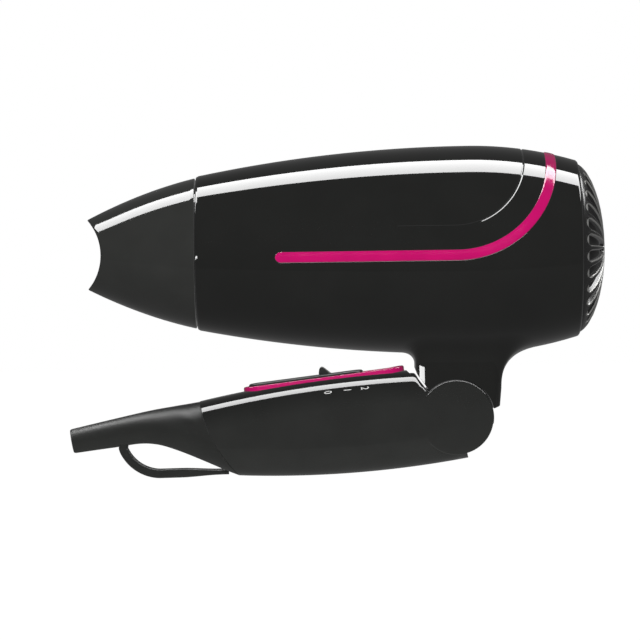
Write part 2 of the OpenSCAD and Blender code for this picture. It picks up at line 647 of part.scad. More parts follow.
// ---------------------------------------------------------------- cord end
function on_sleeve(d) = [sleeve_tip[0] + d * cos(sleeve_deg), sleeve_tip[1] + d * sin(sleeve_deg)];
module along_sleeve(d) translate([on_sleeve(d)[0], 0, on_sleeve(d)[1]]) rotate([0, 90 - sleeve_deg, 0]) children();
plug_end = sleeve_tube + plug_len;
clamp = [foremost + 12.5, on_sleeve(plug_end)[1] - 1.2];
clamp_bar = [7, 13.6, 3];
clamp_gap = cord_bore_r + 0.3;
clamp_screw_z = clamp[1] - clamp_gap - clamp_bar[2] - 1.22;
handle_screw_at = [[foremost + 14, clamp_screw_z - boss_r - 1.5], [hx - 27, hz - 12]];
module cord_clamp() color("#2c2c2c") translate([clamp[0], 0, clamp[1]]) {
    translate([0, -clamp_bar[1] / 2, -clamp_gap - clamp_bar[2]]) cube(clamp_bar);
    translate([0, -clamp_bar[1] / 2, clamp_gap]) cube([clamp_bar[0], clamp_bar[1], 1.5]);
    for (s = [-1, 1]) translate([clamp_bar[0] / 2, s * (cord_bore_r + 1.9), -clamp_gap - 0.5])
        cylinder(r = 1.4, h = 2 * clamp_gap + 1);
}
module clamp_screws() color("silver")
    for (s = [-1, 1]) translate([clamp[0] + 3.5, s * (cord_bore_r + 1.9), clamp_screw_z])
        cylinder(r = 1.4, h = 1.2);
module seam_section() hull() {
    top = [foremost + 1.05, crown_z(foremost + 1.05)];
    low = [foremost + 16.6, belly_z(foremost + 16.6)];
    lean = atan2(low[0] - top[0], top[1] - low[1]);
    tall = norm(top - low);
    translate([(top[0] + low[0]) / 2, 0, (top[1] + low[1]) / 2]) rotate([0, -lean, 0])
        translate([-0.2, 0, 0]) rotate([90, 0, 90]) linear_extrude(5) polygon([
            for (sy = [1, -1]) for (sz = sy > 0 ? [1, -1] : [-1, 1])
                each arc_pts([sy * (half_w - corner_r), sz * (tall / 2 - corner_r)], corner_r,
                    sy > 0 ? (sz > 0 ? 90 : 0) : (sz > 0 ? 180 : 270),
                    sy > 0 ? (sz > 0 ? 0 : -90) : (sz > 0 ? 90 : 180), 5)
        ]);
}
loop_r1 = 18;
loop_c = [sleeve_root[0] + 8.5, belly_z(foremost + 11) + loop_r1 - 1.1];
loop_t = 3.6;
module hanging_loop() both_y(loop_w / 2) polygon(concat(
    [[loop_c[0] - loop_r1 + 0.9, loop_c[1] - 4.6]],
    arc_pts(loop_c, loop_r1, 204, 270, 9),
    [[foremost + 13, belly_z(foremost + 13) + 0.2], [foremost + 6, belly_z(foremost + 6) + 3.7]],
    arc_pts(loop_c, loop_r1 - loop_t, 270, 206, 9),
    [[loop_c[0] - loop_r1 + 5, loop_c[1] - 2.2]]
));
module cord_sleeve() color("#2b2c2b") difference() {
    union() {
        along_sleeve(0) cylinder(r1 = sleeve_tip_r, r2 = sleeve_root_r, h = sleeve_tube + 0.5);
        difference() {
            hull() {
                seam_section();
                along_sleeve(sleeve_tube - 0.5) cylinder(r = sleeve_root_r, h = 1, $fn = 32);
            }
            both_y(half_w + 1) polygon(concat(
                arc_pts(seam_c, seam_arc + snug, 172, 240, 12), [[hx, hz - 40], [hx, hz + 40]]
            ));
        }
        along_sleeve(sleeve_tube) cylinder(r = plug_r, h = plug_len);
        hanging_loop();
    }
    along_sleeve(-1) cylinder(r = cord_bore_r, h = plug_end + 2);
}

housing_left();
housing_right();
trim_band();
intake_grille();
lint_screen();
outlet_guard();
mica_tube();
mica_cross();
heating_coils();
thermostat();
thermal_fuse();
fan_duct();
motor_can();
motor_end_cap();
motor_magnets();
motor_bearings();
rectifier_board();
motor_shaft();
rotor_core();
commutator();
fan();
nozzle_clip();
nozzle();
hinge_bushes();
hinge_plates();
hinge_washers();
housing_screws();
barrel_leads();
handle_left();
handle_right();
switch_trim();
switch_block();
switch_terminals();
slider();
switch_lever();
handle_screws();
handle_leads();
filter_capacitor();
cord_clamp();
clamp_screws();
cord_sleeve();
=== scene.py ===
import json
import math
import bmesh
import bpy
from mathutils import Matrix, Vector

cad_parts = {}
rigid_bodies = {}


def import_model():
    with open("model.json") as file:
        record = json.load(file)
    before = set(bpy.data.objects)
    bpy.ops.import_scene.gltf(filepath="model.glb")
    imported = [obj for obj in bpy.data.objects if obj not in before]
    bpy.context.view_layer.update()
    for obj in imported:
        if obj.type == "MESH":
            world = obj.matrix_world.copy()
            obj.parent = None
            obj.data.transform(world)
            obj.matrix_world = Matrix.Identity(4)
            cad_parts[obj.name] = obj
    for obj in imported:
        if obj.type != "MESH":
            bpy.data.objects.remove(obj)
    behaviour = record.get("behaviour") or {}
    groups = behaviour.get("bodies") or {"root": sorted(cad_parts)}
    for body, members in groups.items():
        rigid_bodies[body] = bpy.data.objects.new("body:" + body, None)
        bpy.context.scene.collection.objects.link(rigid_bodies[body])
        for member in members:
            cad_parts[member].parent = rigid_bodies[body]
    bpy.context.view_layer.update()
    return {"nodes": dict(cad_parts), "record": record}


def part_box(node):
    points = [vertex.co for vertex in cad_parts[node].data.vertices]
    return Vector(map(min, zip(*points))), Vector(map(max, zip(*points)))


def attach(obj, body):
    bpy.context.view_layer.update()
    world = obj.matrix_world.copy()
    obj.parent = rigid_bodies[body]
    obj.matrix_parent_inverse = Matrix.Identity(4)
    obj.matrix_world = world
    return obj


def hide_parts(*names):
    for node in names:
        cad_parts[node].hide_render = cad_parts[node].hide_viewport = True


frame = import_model()
nodes = frame["nodes"]
MM = 0.001


# ------------------------------------------------------------------ sizes, in millimetres
def box_mm(node):
    """Lowest and highest corner of a CAD node, in millimetres."""
    return [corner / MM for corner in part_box(node)]


shell_hi = box_mm("housing_right")[1]
barrel_len, barrel_r = shell_hi.x, shell_hi.z
nozzle_lo, nozzle_hi = box_mm("nozzle")
nozzle_len, spigot_len, nozzle_r = -nozzle_lo.x, nozzle_hi.x, nozzle_hi.z
front_r = nozzle_r + 0.6
grille_lo, grille_hi = box_mm("intake_grille")
intake_r = grille_hi.z + 0.1
rear_r = 35.4
edge_r = rear_r - intake_r - 0.2
wall = 2.0
peak_x = 109.0
bush_lo, bush_hi = box_mm("hinge_bushes")
hinge = ((bush_lo.x + bush_hi.x) / 2, (bush_lo.z + bush_hi.z) / 2)
grip_lo, grip_hi = box_mm("handle_right")
foremost, half_w = grip_lo.x, grip_hi.y
cheek_r = 14.8
cheek_in = 8.8
tongue_half = 8.4
tongue_r = cheek_r - 1.6
lip_deg = 13
heel_deg = -74

front_arc = (peak_x ** 2 + (barrel_r - front_r) ** 2) / (2 * (barrel_r - front_r))
rear_x = barrel_len - edge_r
rear_arc = ((rear_x - peak_x) ** 2 + (barrel_r - rear_r) ** 2) / (2 * (barrel_r - rear_r))
edge_x = rear_x + 0.288 * edge_r


def barrel_at(x):
    """Radius of the barrel's skin."""
    arc = front_arc if x < peak_x else rear_arc
    return barrel_r - arc + math.sqrt(arc ** 2 - (peak_x - x) ** 2)


def barrel_slope(x):
    """How the skin's radius changes along the barrel."""
    arc = front_arc if x < peak_x else rear_arc
    return (peak_x - x) / math.sqrt(arc ** 2 - (peak_x - x) ** 2)


def spread(a, b, n):
    """n + 1 values from a to b."""
    return [a + (b - a) * i / n for i in range(n + 1)]


def ease(t):
    """Smooth step from 0 to 1."""
    t = min(max(t, 0.0), 1.0)
    return t * t * (3 - 2 * t)


def about_hinge(r, degrees):
    """Point at a radius and an angle from the hinge, seen from the side."""
    a = math.radians(degrees)
    return hinge[0] + r * math.cos(a), hinge[1] + r * math.sin(a)


# ------------------------------------------------------------------ mesh tools
def new_piece(name, mesh):
    """Object for a mesh, linked to the scene."""
    piece = bpy.data.objects.new(name, mesh)
    bpy.context.scene.collection.objects.link(piece)
    return piece


def loft(name, rows, closed=True, ring=False):
    """Skin over rows of points in millimetres.

    closed joins the ends of each row, ring joins the last row to the first, and otherwise both ends are capped.
    """
    n = len(rows[0])
    points = [Vector(p) * MM for row in rows for p in row]
    faces = []
    for i in range(len(rows) if ring else len(rows) - 1):
        a, b = i * n, (i + 1) % len(rows) * n
        for j in range(n if closed else n - 1):
            k = (j + 1) % n
            faces.append((a + j, a + k, b + k, b + j))
    if not ring:
        faces.append(tuple(reversed(range(n))))
        faces.append(tuple(range(len(points) - n, len(points))))
    mesh = bpy.data.meshes.new(name)
    mesh.from_pydata(points, [], faces)
    work = bmesh.new()
    work.from_mesh(mesh)
    bmesh.ops.remove_doubles(work, verts=work.verts, dist=2e-7)
    bmesh.ops.dissolve_degenerate(work, edges=work.edges, dist=1e-7)
    bmesh.ops.recalc_face_normals(work, faces=work.faces)
    work.to_mesh(mesh)
    work.free()
    return new_piece(name, mesh)


def prism(name, outline, y0, y1, edge=0.0):
    """Solid of a side outline of (x, z) between two planes, with its edges eased on the y1 side."""
    cx = sum(p[0] for p in outline) / len(outline)
    cz = sum(p[1] for p in outline) / len(outline)

    def shrunk(d):
        out = []
        for i, (x, z) in enumerate(outline):
            ax, az = outline[i - 1]
            bx, bz = outline[(i + 1) % len(outline)]
            tx, tz = bx - ax, bz - az
            size = math.hypot(tx, tz) or 1
            nx, nz = -tz / size, tx / size
            if nx * (cx - x) + nz * (cz - z) < 0:
                nx, nz = -nx, -nz
            out.append((x + nx * d, z + nz * d))
        return out

    rows = [[(x, y0, z) for x, z in outline]]
    for a in ([0] if not edge else [0, 30, 60, 90]):
        t = math.radians(a)
        ring = shrunk(edge * (1 - math.cos(t)))
        rows.append([(x, y1 - edge + edge * math.sin(t), z) for x, z in ring])
    return loft(name, rows)


def circle(c, r, a0, a1, n):
    """Points of an arc in the side view."""
    return [
        (c[0] + r * math.cos(math.radians(a)), c[1] + r * math.sin(math.radians(a)))
        for a in spread(a0, a1, n)
    ]


def finished_mesh(piece):
    """The piece's mesh with its modifiers applied."""
    return bpy.data.meshes.new_from_object(piece.evaluated_get(bpy.context.evaluated_depsgraph_get()))


def settle(piece):
    """Applies the piece's modifiers."""
    mesh = finished_mesh(piece)
    piece.modifiers.clear()
    piece.data = mesh
    return piece


def carve(piece, other, how="DIFFERENCE"):
    """Cuts another solid from the piece, or joins it on, and removes the other."""
    step = piece.modifiers.new(how, "BOOLEAN")
    step.operation = how
    step.solver = "MANIFOLD"
    step.object = other
    settle(piece)
    bpy.data.objects.remove(other)
    return piece


def mirrored(piece, name):
    """Copy of the piece on the other side of the seam."""
    mesh = piece.data.copy()
    mesh.transform(Matrix.Scale(-1, 4, (0, 1, 0)))
    mesh.flip_normals()
    return new_piece(name, mesh)


def shade(piece, normal_at=None, crease=32):
    """Smooth shading with sharp creases. Where normal_at knows the surface, its normal is used."""
    mesh = piece.data
    mesh.shade_smooth()
    mesh.set_sharp_from_angle(angle=math.radians(crease))
    if normal_at:
        known = [normal_at(v.co / MM) for v in mesh.vertices]
        normals = []
        for face in mesh.polygons:
            for corner in face.loop_indices:
                n = known[mesh.loops[corner].vertex_index]
                normals.append(n if n and n.dot(face.normal) > 0.9 else (0, 0, 0))
        mesh.normals_split_custom_set(normals)
    return piece


# ------------------------------------------------------------------ node tools
def join_up(tree, a, b):
    tree.links.new(a, b)


def repeat_tree():
    """Geometry Nodes tree that repeats a piece by a step and a turn, and welds the copies."""
    tree = bpy.data.node_groups.new("repeat_piece", "GeometryNodeTree")
    face = tree.interface
    face.new_socket("Geometry", in_out="INPUT", socket_type="NodeSocketGeometry")
    for label, kind in (
        ("Copies", "NodeSocketInt"), ("Step", "NodeSocketVector"), ("Turn", "NodeSocketVector"),
        ("Weld", "NodeSocketFloat"), ("Finish", "NodeSocketMaterial"),
    ):
        face.new_socket(label, in_out="INPUT", socket_type=kind)
    face.new_socket("Geometry", in_out="OUTPUT", socket_type="NodeSocketGeometry")
    add = tree.nodes.new
    given, out = add("NodeGroupInput"), add("NodeGroupOutput")
    line, index = add("GeometryNodeMeshLine"), add("GeometryNodeInputIndex")
    turn, euler = add("ShaderNodeVectorMath"), add("FunctionNodeEulerToRotation")
    place, real = add("GeometryNodeInstanceOnPoints"), add("GeometryNodeRealizeInstances")
    weld, finish = add("GeometryNodeMergeByDistance"), add("GeometryNodeSetMaterial")
    line.mode = "OFFSET"
    turn.operation = "SCALE"
    for a, b in (
        (given.outputs["Copies"], line.inputs["Count"]),
        (given.outputs["Step"], line.inputs["Offset"]),
        (given.outputs["Turn"], turn.inputs[0]),
        (index.outputs[0], turn.inputs["Scale"]),
        (turn.outputs[0], euler.inputs[0]),
        (line.outputs[0], place.inputs["Points"]),
        (given.outputs["Geometry"], place.inputs["Instance"]),
        (euler.outputs[0], place.inputs["Rotation"]),
        (place.outputs[0], real.inputs[0]),
        (real.outputs[0], weld.inputs["Geometry"]),
        (given.outputs["Weld"], weld.inputs["Distance"]),
        (weld.outputs[0], finish.inputs["Geometry"]),
        (given.outputs["Finish"], finish.inputs["Material"]),
        (finish.outputs[0], out.inputs[0]),
    ):
        join_up(tree, a, b)
    return tree


def repeated(piece, copies, step=(0, 0, 0), turn=(0, 0, 0), weld=1e-6, finish=None):
    """The piece repeated by the tree and made a plain mesh. step is in millimetres, turn in degrees."""
    row = piece.modifiers.new("copies", "NODES")
    row.node_group = repeats
    values = {
        "Copies": copies,
        "Step": [s * MM for s in step],
        "Turn": [math.radians(t) for t in turn],
        "Weld": weld,
        "Finish": finish,
    }
    for socket in repeats.interface.items_tree:
        if socket.in_out == "INPUT" and socket.name in values:
            row[socket.identifier] = values[socket.name]
    piece.update_tag()
    return settle(piece)


repeats = repeat_tree()


# ------------------------------------------------------------------ finishes
def moulding_group():
    """Fine moulded grain, handling marks and dust, each as a value that changes over the surface."""
    group = bpy.data.node_groups.new("moulded_skin", "ShaderNodeTree")
    face = group.interface
    for label, value in (("Grain size", 2400.0), ("Mark size", 90.0), ("Dust size", 700.0)):
        socket = face.new_socket(label, in_out="INPUT", socket_type="NodeSocketFloat")
        socket.default_value = value
    for label in ("Grain", "Marks", "Dust"):
        face.new_socket(label, in_out="OUTPUT", socket_type="NodeSocketFloat")
    add = group.nodes.new
    given, out = add("NodeGroupInput"), add("NodeGroupOutput")
    place = add("ShaderNodeTexCoord")
    for label, size, detail in (("Grain", "Grain size", 3), ("Marks", "Mark size", 4), ("Dust", "Dust size", 2)):
        noise = add("ShaderNodeTexNoise")
        noise.inputs["Detail"].default_value = detail
        group.links.new(place.outputs["Object"], noise.inputs["Vector"])
        group.links.new(given.outputs[size], noise.inputs["Scale"])
        bend = add("ShaderNodeMapRange")
        bend.inputs["From Min"].default_value = 0.35 if label != "Dust" else 0.62
        bend.inputs["From Max"].default_value = 0.65 if label != "Dust" else 0.8
        group.links.new(noise.outputs["Fac"], bend.inputs["Value"])
        group.links.new(bend.outputs["Result"], out.inputs[label])
    return group


moulded_skin = moulding_group()


def finish_of(name, colour, worn=None, rough=(0.1, 0.16), grain=(2400.0, 0.0), marks=90.0, dust=0.0,
              metal=0.0, coat=0.0, coat_rough=0.03, ior=1.5, sheen=0.0):
    """Principled finish. colour and worn are the two tones, rough the two roughnesses, grain the size and depth."""
    material = bpy.data.materials.new(name)
    material.use_nodes = True
    tree = material.node_tree
    shader = tree.nodes["Principled BSDF"]
    shader.inputs["Metallic"].default_value = metal
    shader.inputs["IOR"].default_value = ior
    shader.inputs["Coat Weight"].default_value = coat
    shader.inputs["Coat Roughness"].default_value = coat_rough
    shader.inputs["Sheen Weight"].default_value = sheen
    skin = tree.nodes.new("ShaderNodeGroup")
    skin.node_tree = moulded_skin
    skin.inputs["Grain size"].default_value = grain[0]
    skin.inputs["Mark size"].default_value = marks
    tone = tree.nodes.new("ShaderNodeMix")
    tone.data_type = "RGBA"
    tone.inputs["A"].default_value = (*colour, 1)
    tone.inputs["B"].default_value = (*(worn or [c * 1.12 + 0.0006 for c in colour]), 1)
    tree.links.new(skin.outputs["Marks"], tone.inputs["Factor"])
    base = tone.outputs["Result"]
    if dust:
        speck = tree.nodes.new("ShaderNodeMath")
        speck.operation = "MULTIPLY"
        speck.inputs[1].default_value = dust
        tree.links.new(skin.outputs["Dust"], speck.inputs[0])
        grey = tree.nodes.new("ShaderNodeMix")
        grey.data_type = "RGBA"
        grey.inputs["B"].default_value = (0.3, 0.29, 0.27, 1)
        tree.links.new(base, grey.inputs["A"])
        tree.links.new(speck.outputs[0], grey.inputs["Factor"])
        base = grey.outputs["Result"]
    tree.links.new(base, shader.inputs["Base Color"])
    gloss = tree.nodes.new("ShaderNodeMapRange")
    gloss.inputs["To Min"].default_value, gloss.inputs["To Max"].default_value = rough
    tree.links.new(skin.outputs["Marks"], gloss.inputs["Value"])
    tree.links.new(gloss.outputs["Result"], shader.inputs["Roughness"])
    if grain[1]:
        bump = tree.nodes.new("ShaderNodeBump")
        bump.inputs["Strength"].default_value = 1.0
        bump.inputs["Distance"].default_value = grain[1] * MM
        tree.links.new(skin.outputs["Grain"], bump.inputs["Height"])
        tree.links.new(bump.outputs["Normal"], shader.inputs["Normal"])
    return material


FINISHES = {
    "barrel_gloss": dict(colour=(0.0125, 0.0129, 0.012), rough=(0.02, 0.035), grain=(900.0, 0.00008), marks=45.0),
    "handle_gloss": dict(colour=(0.0135, 0.014, 0.0132), rough=(0.04, 0.06), grain=(1500.0, 0.0001), marks=60.0),
    "nozzle_gloss": dict(colour=(0.032, 0.033, 0.031), rough=(0.04, 0.06), grain=(1600.0, 0.0001), marks=60.0),
    "magenta_gloss": dict(colour=(0.66, 0.0005, 0.16), rough=(0.1, 0.15), grain=(1200.0, 0.0004), marks=80.0),
    "grille_gloss": dict(colour=(0.016, 0.016, 0.016), rough=(0.2, 0.28), metal=0.0, grain=(1500.0, 0.0004), dust=0.06),
    "slider_satin": dict(colour=(0.02, 0.0205, 0.02), rough=(0.28, 0.36), grain=(3200.0, 0.006)),
    "sleeve_rubber": dict(colour=(0.0115, 0.012, 0.0112), rough=(0.46, 0.55), grain=(3600.0, 0.006), dust=0.02),
    "mica": dict(colour=(0.5, 0.4, 0.26), worn=(0.36, 0.27, 0.16), rough=(0.25, 0.45), grain=(700.0, 0.01)),
    "heater_wire": dict(colour=(0.33, 0.29, 0.26), worn=(0.2, 0.16, 0.14), rough=(0.3, 0.5), metal=1.0),
    "duct_plastic": dict(colour=(0.03, 0.03, 0.03), rough=(0.4, 0.5), grain=(2400.0, 0.006)),
    "fan_plastic": dict(colour=(0.015, 0.015, 0.015), rough=(0.3, 0.42), grain=(2400.0, 0.004)),
    "can_steel": dict(colour=(0.5, 0.5, 0.5), rough=(0.25, 0.4), metal=1.0),
    "cap_plastic": dict(colour=(0.7, 0.68, 0.62), rough=(0.35, 0.5), grain=(2400.0, 0.004)),
    "ferrite": dict(colour=(0.05, 0.05, 0.052), rough=(0.5, 0.7), grain=(2400.0, 0.01)),
    "sintered_bronze": dict(colour=(0.45, 0.3, 0.13), rough=(0.4, 0.55), metal=1.0, grain=(4000.0, 0.01)),
    "board_laminate": dict(colour=(0.02, 0.13, 0.05), rough=(0.3, 0.45)),
    "spring_steel": dict(colour=(0.55, 0.55, 0.56), rough=(0.2, 0.32), metal=1.0),
    "core_steel": dict(colour=(0.3, 0.3, 0.31), rough=(0.4, 0.6), metal=1.0),
    "copper": dict(colour=(0.6, 0.26, 0.13), rough=(0.2, 0.35), metal=1.0),
    "screw_steel": dict(colour=(0.33, 0.33, 0.34), rough=(0.22, 0.34), metal=1.0),
    "lead_insulation": dict(colour=(0.55, 0.55, 0.53), rough=(0.4, 0.5)),
    "switch_plastic": dict(colour=(0.012, 0.012, 0.012), rough=(0.35, 0.5), grain=(2400.0, 0.005)),
    "lever_plastic": dict(colour=(0.75, 0.74, 0.7), rough=(0.35, 0.45)),
    "capacitor_film": dict(colour=(0.6, 0.42, 0.02), rough=(0.3, 0.4)),
    "clamp_plastic": dict(colour=(0.025, 0.025, 0.025), rough=(0.4, 0.55), grain=(2400.0, 0.006)),
    "ceramic": dict(colour=(0.75, 0.72, 0.63), rough=(0.3, 0.45), grain=(2400.0, 0.004)),
}
finishes = {slot: finish_of(slot, **sizes) for slot, sizes in FINISHES.items()}
# Lint mesh finish: a dark mesh, darkened further to near black as painted shade in the grille's slots.
lint_black_and_painted_shade = finish_of("lint_black_and_painted_shade", colour=(0.006, 0.006, 0.006), rough=(0.6, 0.75), grain=(3000.0, 0.004))
# Light grey for the grille slots' bevels: a painted highlight on the black plastic.
chamfer_painted_highlight = finish_of("chamfer_painted_highlight", colour=(0.3, 0.3, 0.29), rough=(0.3, 0.4), metal=0.3)
print_white = finish_of("print_white", colour=(0.8, 0.8, 0.79), rough=(0.35, 0.45))

for part in frame["record"]["subparts"]:
    nodes[part["node"]].data.materials.clear()
    nodes[part["node"]].data.materials.append(finishes[part["material_slot"]])


riders = {}


def hand_in(piece, body, slot, *stands_for, finish=None):
    """Gives a finished piece its material, by default its slot's finish, puts it on its body and hides the CAD nodes
    that it stands for.
    """
    piece.data.materials.clear()
    piece.data.materials.append(finish or finishes[slot])
    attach(piece, body)
    riders.setdefault(body, []).append(piece)
    if stands_for:
        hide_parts(*stands_for)
    return piece


# ------------------------------------------------------------------ barrel and neck
neck_x0 = hinge[0] - cheek_r - 1.2
neck_x1 = hinge[0] + 18
front_corner, rear_corner = 5.0, 4.0
blend_front, blend_side, blend_rear = 5.5, 8.0, 15.0
seam_notch = 0.2


def outside_neck(x, y):
    """Distance outside the neck's plan outline, and the direction outwards."""
    cx, hx = (neck_x0 + neck_x1) / 2, (neck_x1 - neck_x0) / 2
    r = front_corner if x < cx else rear_corner
    sx, sy = (1 if x > cx else -1), (1 if y > 0 else -1)
    qx, qy = abs(x - cx) - hx + r, abs(y) - half_w + r
    if qx > 0 and qy > 0:
        d = math.hypot(qx, qy)
        return d - r, sx * qx / d, sy * qy / d
    return (qx - r, sx, 0) if qx > qy else (qy - r, 0, sy)


def blend_of(nx):
    """Width of the blend between neck and barrel, by the direction in plan."""
    if nx < 0:
        return blend_side + (blend_front - blend_side) * nx * nx
    return blend_side + (blend_rear - blend_side) * nx * nx


def housing_gap(x, y, z):
    """Rough distance outside the housing's blended skin."""
    slope = barrel_slope(min(max(x, 0), rear_x + 2))
    b = (math.hypot(y, z) - barrel_at(min(max(x, 0), rear_x + 2))) / math.hypot(1, slope)
    if z > -20:
        return b
    a, nx, _ = outside_neck(x, y)
    k = blend_of(nx)
    h = max(k - abs(a - b), 0)
    return min(a, b) - h * h / (4 * k)


def housing_normal(p):
    """Normal of the blended skin at a point on it, or None elsewhere."""
    x, y, z = p
    if not 0.7 < x < edge_x or abs(housing_gap(x, y, z)) > 0.06:
        return None
    e = 0.02
    return Vector((
        housing_gap(x + e, y, z) - housing_gap(x - e, y, z),
        housing_gap(x, y + e, z) - housing_gap(x, y - e, z),
        housing_gap(x, y, z + e) - housing_gap(x, y, z - e),
    )).normalized()


def barrel_profile():
    """Closed outline of the barrel's wall as (x, radius, is it skin)."""
    lip = 0.8
    slope = math.atan(barrel_slope(0))
    skin = [(lip * (1 - math.cos(a)), front_r - lip + lip * math.sin(a), True) for a in spread(0, math.pi / 2 - slope * 0.4, 5)]
    skin += [(x, barrel_at(x), True) for x in spread(lip + 0.2, peak_x, 56)]
    skin += [(x, barrel_at(x), True) for x in spread(peak_x, edge_x, 24)[1:]]
    lean = -math.atan(barrel_slope(edge_x))
    c = (barrel_len - edge_r, barrel_at(edge_x) - edge_r * math.cos(lean))
    skin += [(c[0] + edge_r * math.sin(a), c[1] + edge_r * math.cos(a), True) for a in spread(lean, math.pi / 2, 10)[1:]]
    rear_in = barrel_len - 5.5
    inner = [(barrel_len - 0.15, intake_r + 0.05), (barrel_len - 0.4, intake_r), (rear_in, intake_r)]
    inner += [(rear_in, barrel_at(rear_in) - wall)]
    inner += [(x, barrel_at(x) - wall) for x in spread(rear_in - 2, 14, 24)]
    seat = front_r - wall - 0.1
    inner += [(12, barrel_at(12) - wall), (12, seat - 0.4), (10, seat - 0.4), (10, barrel_at(10) - wall)]
    inner += [(spigot_len + 0.6, barrel_at(spigot_len + 0.6) - wall), (spigot_len + 0.6, seat), (0.4, seat), (0, seat + 0.4)]
    return skin + [(x, r, False) for x, r in inner]


def barrel_half():
    """Right half of the barrel's wall, with a fine notch along the seam."""
    profile = barrel_profile()
    small = math.degrees(seam_notch / barrel_r)
    angles = [-90, -90 + small] + spread(-90 + small, 90 - small, 130)[1:-1] + [90 - small, 90]
    rows = []
    for a in angles:
        t = math.radians(a)
        notch = seam_notch if abs(a) == 90 else 0
        rows.append([
            (x, max((r - notch * skin) * math.cos(t), 0), (r - notch * skin) * math.sin(t)) for x, r, skin in profile
        ])
    return loft("housing_right_moulding", rows)


def neck_low(x):
    """Height of the neck's lower edge."""
    marks = [(neck_x0, -47.3), (neck_x0 + 1.24, -50.44), (neck_x0 + 5.04, -55.34), (neck_x0 + 5.35, -55.66)]
    if x < marks[-1][0]:
        for (xa, za), (xb, zb) in zip(marks, marks[1:]):
            if x <= xb:
                return za + (zb - za) * max(x - xa, 0) / (xb - xa)
    end_x = about_hinge(cheek_r + 0.4, lip_deg)[0]
    if x < end_x:
        return hinge[1] + math.sqrt((cheek_r + 0.4) ** 2 - (x - hinge[0]) ** 2)
    return about_hinge(cheek_r + 0.4, lip_deg)[1] + (x - end_x) * 0.23


def neck_plan():
    """Points and outward directions of the neck's plan outline, front middle to rear middle."""
    f, r = front_corner, rear_corner
    out = [(neck_x0 + seam_notch, 0, -1, 0), (neck_x0, seam_notch, -1, 0)]
    out += [(neck_x0, y, -1, 0) for y in spread(seam_notch, half_w - f, 8)[1:]]
    for a in spread(180, 90, 18)[1:]:
        c, s = math.cos(math.radians(a)), math.sin(math.radians(a))
        out.append((neck_x0 + f + f * c, half_w - f + f * s, c, s))
    out += [(x, half_w, 0, 1) for x in spread(neck_x0 + f, neck_x1 - r, 34)[1:]]
    for a in spread(90, 0, 14)[1:]:
        c, s = math.cos(math.radians(a)), math.sin(math.radians(a))
        out.append((neck_x1 - r + r * c, half_w - r + r * s, c, s))
    out += [(neck_x1, y, 1, 0) for y in spread(half_w - r, seam_notch, 8)[1:]]
    return out + [(neck_x1 - seam_notch, 0, 1, 0)]


def neck_half():
    """Right half of the neck with its blend, closed inside the barrel's wall."""
    rows = []
    for qx, qy, nx, ny in neck_plan():
        k = blend_of(nx)

        def at(a, b):
            x = qx + nx * a
            y = max(qy + ny * a, 0)
            reach = barrel_at(x) + b * math.hypot(1, barrel_slope(x))
            return x, y, -math.sqrt(reach ** 2 - y ** 2)

        def under(a):
            return qx + nx * a, max(qy + ny * a, 0)

        low = neck_low(qx)
        top = at(0, k)[2]
        taper = 0.66 if nx > 0.5 else 0.0
        x, y = under(-0.35 - taper * nx)
        deep = qx - 2 * nx
        loop = [(deep, 0, low), (x, 0, low), (x, y, low)]
        for t in spread(0, 1, 7)[:-1]:
            x, y = under(-taper * nx * (1 - t))
            loop.append((x, y, low + 0.35 + (top - low - 0.35) * t))
        for w in spread(-k, k, 26):
            a = (k - abs(w)) ** 2 / (4 * k)
            loop.append(at(a, a - w) if w < 0 else at(a + w, a))
        loop.append(at(k + 1.4, -0.9))
        x, y = at(k + 1.0, -1.0)[:2]
        loop += [(x, y * s, -math.sqrt((barrel_at(x) - 1) ** 2 - (y * s) ** 2)) for s in (0.66, 0.33, 0)]
        loop.append((deep, 0, -barrel_at(deep) + 1))
        rows.append(loop)
    return loft("neck_moulding", rows)


def tongue_half_solid():
    """Right half of the neck's middle tongue, which carries the bushes."""
    wedge = circle(hinge, cheek_r + 1.4, lip_deg, 136.3, 30)
    disc = circle(hinge, tongue_r, 136.3, 360 + lip_deg, 60)
    return prism("tongue_moulding", wedge + disc, 0, tongue_half, 0.3)


# ------------------------------------------------------------------ hooked lines on the barrel
def skin_point(x, z, lift):
    """Point on the barrel's right side at a height, lifted off the skin."""
    r = barrel_at(x)
    s = barrel_slope(x)
    g = math.hypot(1, s)
    y = math.sqrt(max(r * r - z * z, 0))
    return Vector((x - lift * s / g, y + lift * y / r / g, z + lift * z / r / g))


def hook_stations(c, x0):
    """Places along a hooked line: straight, round the bend, then up over the barrel."""
    straight = [("line", x) for x in spread(x0, c[0], 70)]
    bend = [("bend", a) for a in spread(0, 90, 56)[1:]]
    over = [("over", t) for t in spread(0, 1, 22)[1:]]
    return straight + bend + over


def hook_place(c, arc, v, lift, place):
    """Point of a hooked line at an offset v towards the bend's centre."""
    kind, t = place
    if kind == "line":
        return skin_point(t, c[1] - arc + v, lift)
    if kind == "bend":
        a = math.radians(t)
        return skin_point(c[0] + (arc - v) * math.sin(a), c[1] - (arc - v) * math.cos(a), lift)
    x = c[0] + arc - v
    r, s = barrel_at(x), barrel_slope(x)
    g = math.hypot(1, s)
    start = math.asin(c[1] / r)
    a = start + (math.pi / 2 - start) * t
    reach = r + lift / g
    return Vector((x - lift * s / g, reach * math.cos(a), reach * math.sin(a)))


def hook_sweep(name, c, arc, x0, half, section, tip=True):
    """Sweeps a section of (v as a share of the half width, lift) along a hooked line on both sides of the barrel."""
    rows = []
    if tip:
        for a in (8, 25, 42, 60, 76):
            t = math.radians(a)
            share = half * math.sin(t)
            rows.append([hook_place(c, arc, v * share, h, ("line", x0 + half * (1 - math.cos(t)))) for v, h in section])
    for place in hook_stations(c, x0 + (half if tip else 0)):
        rows.append([hook_place(c, arc, v * half, h, place) for v, h in section])
    other = [[Vector((p.x, -p.y, p.z)) for p in row] for row in reversed(rows[:-1])]
    return loft(name, rows + other)


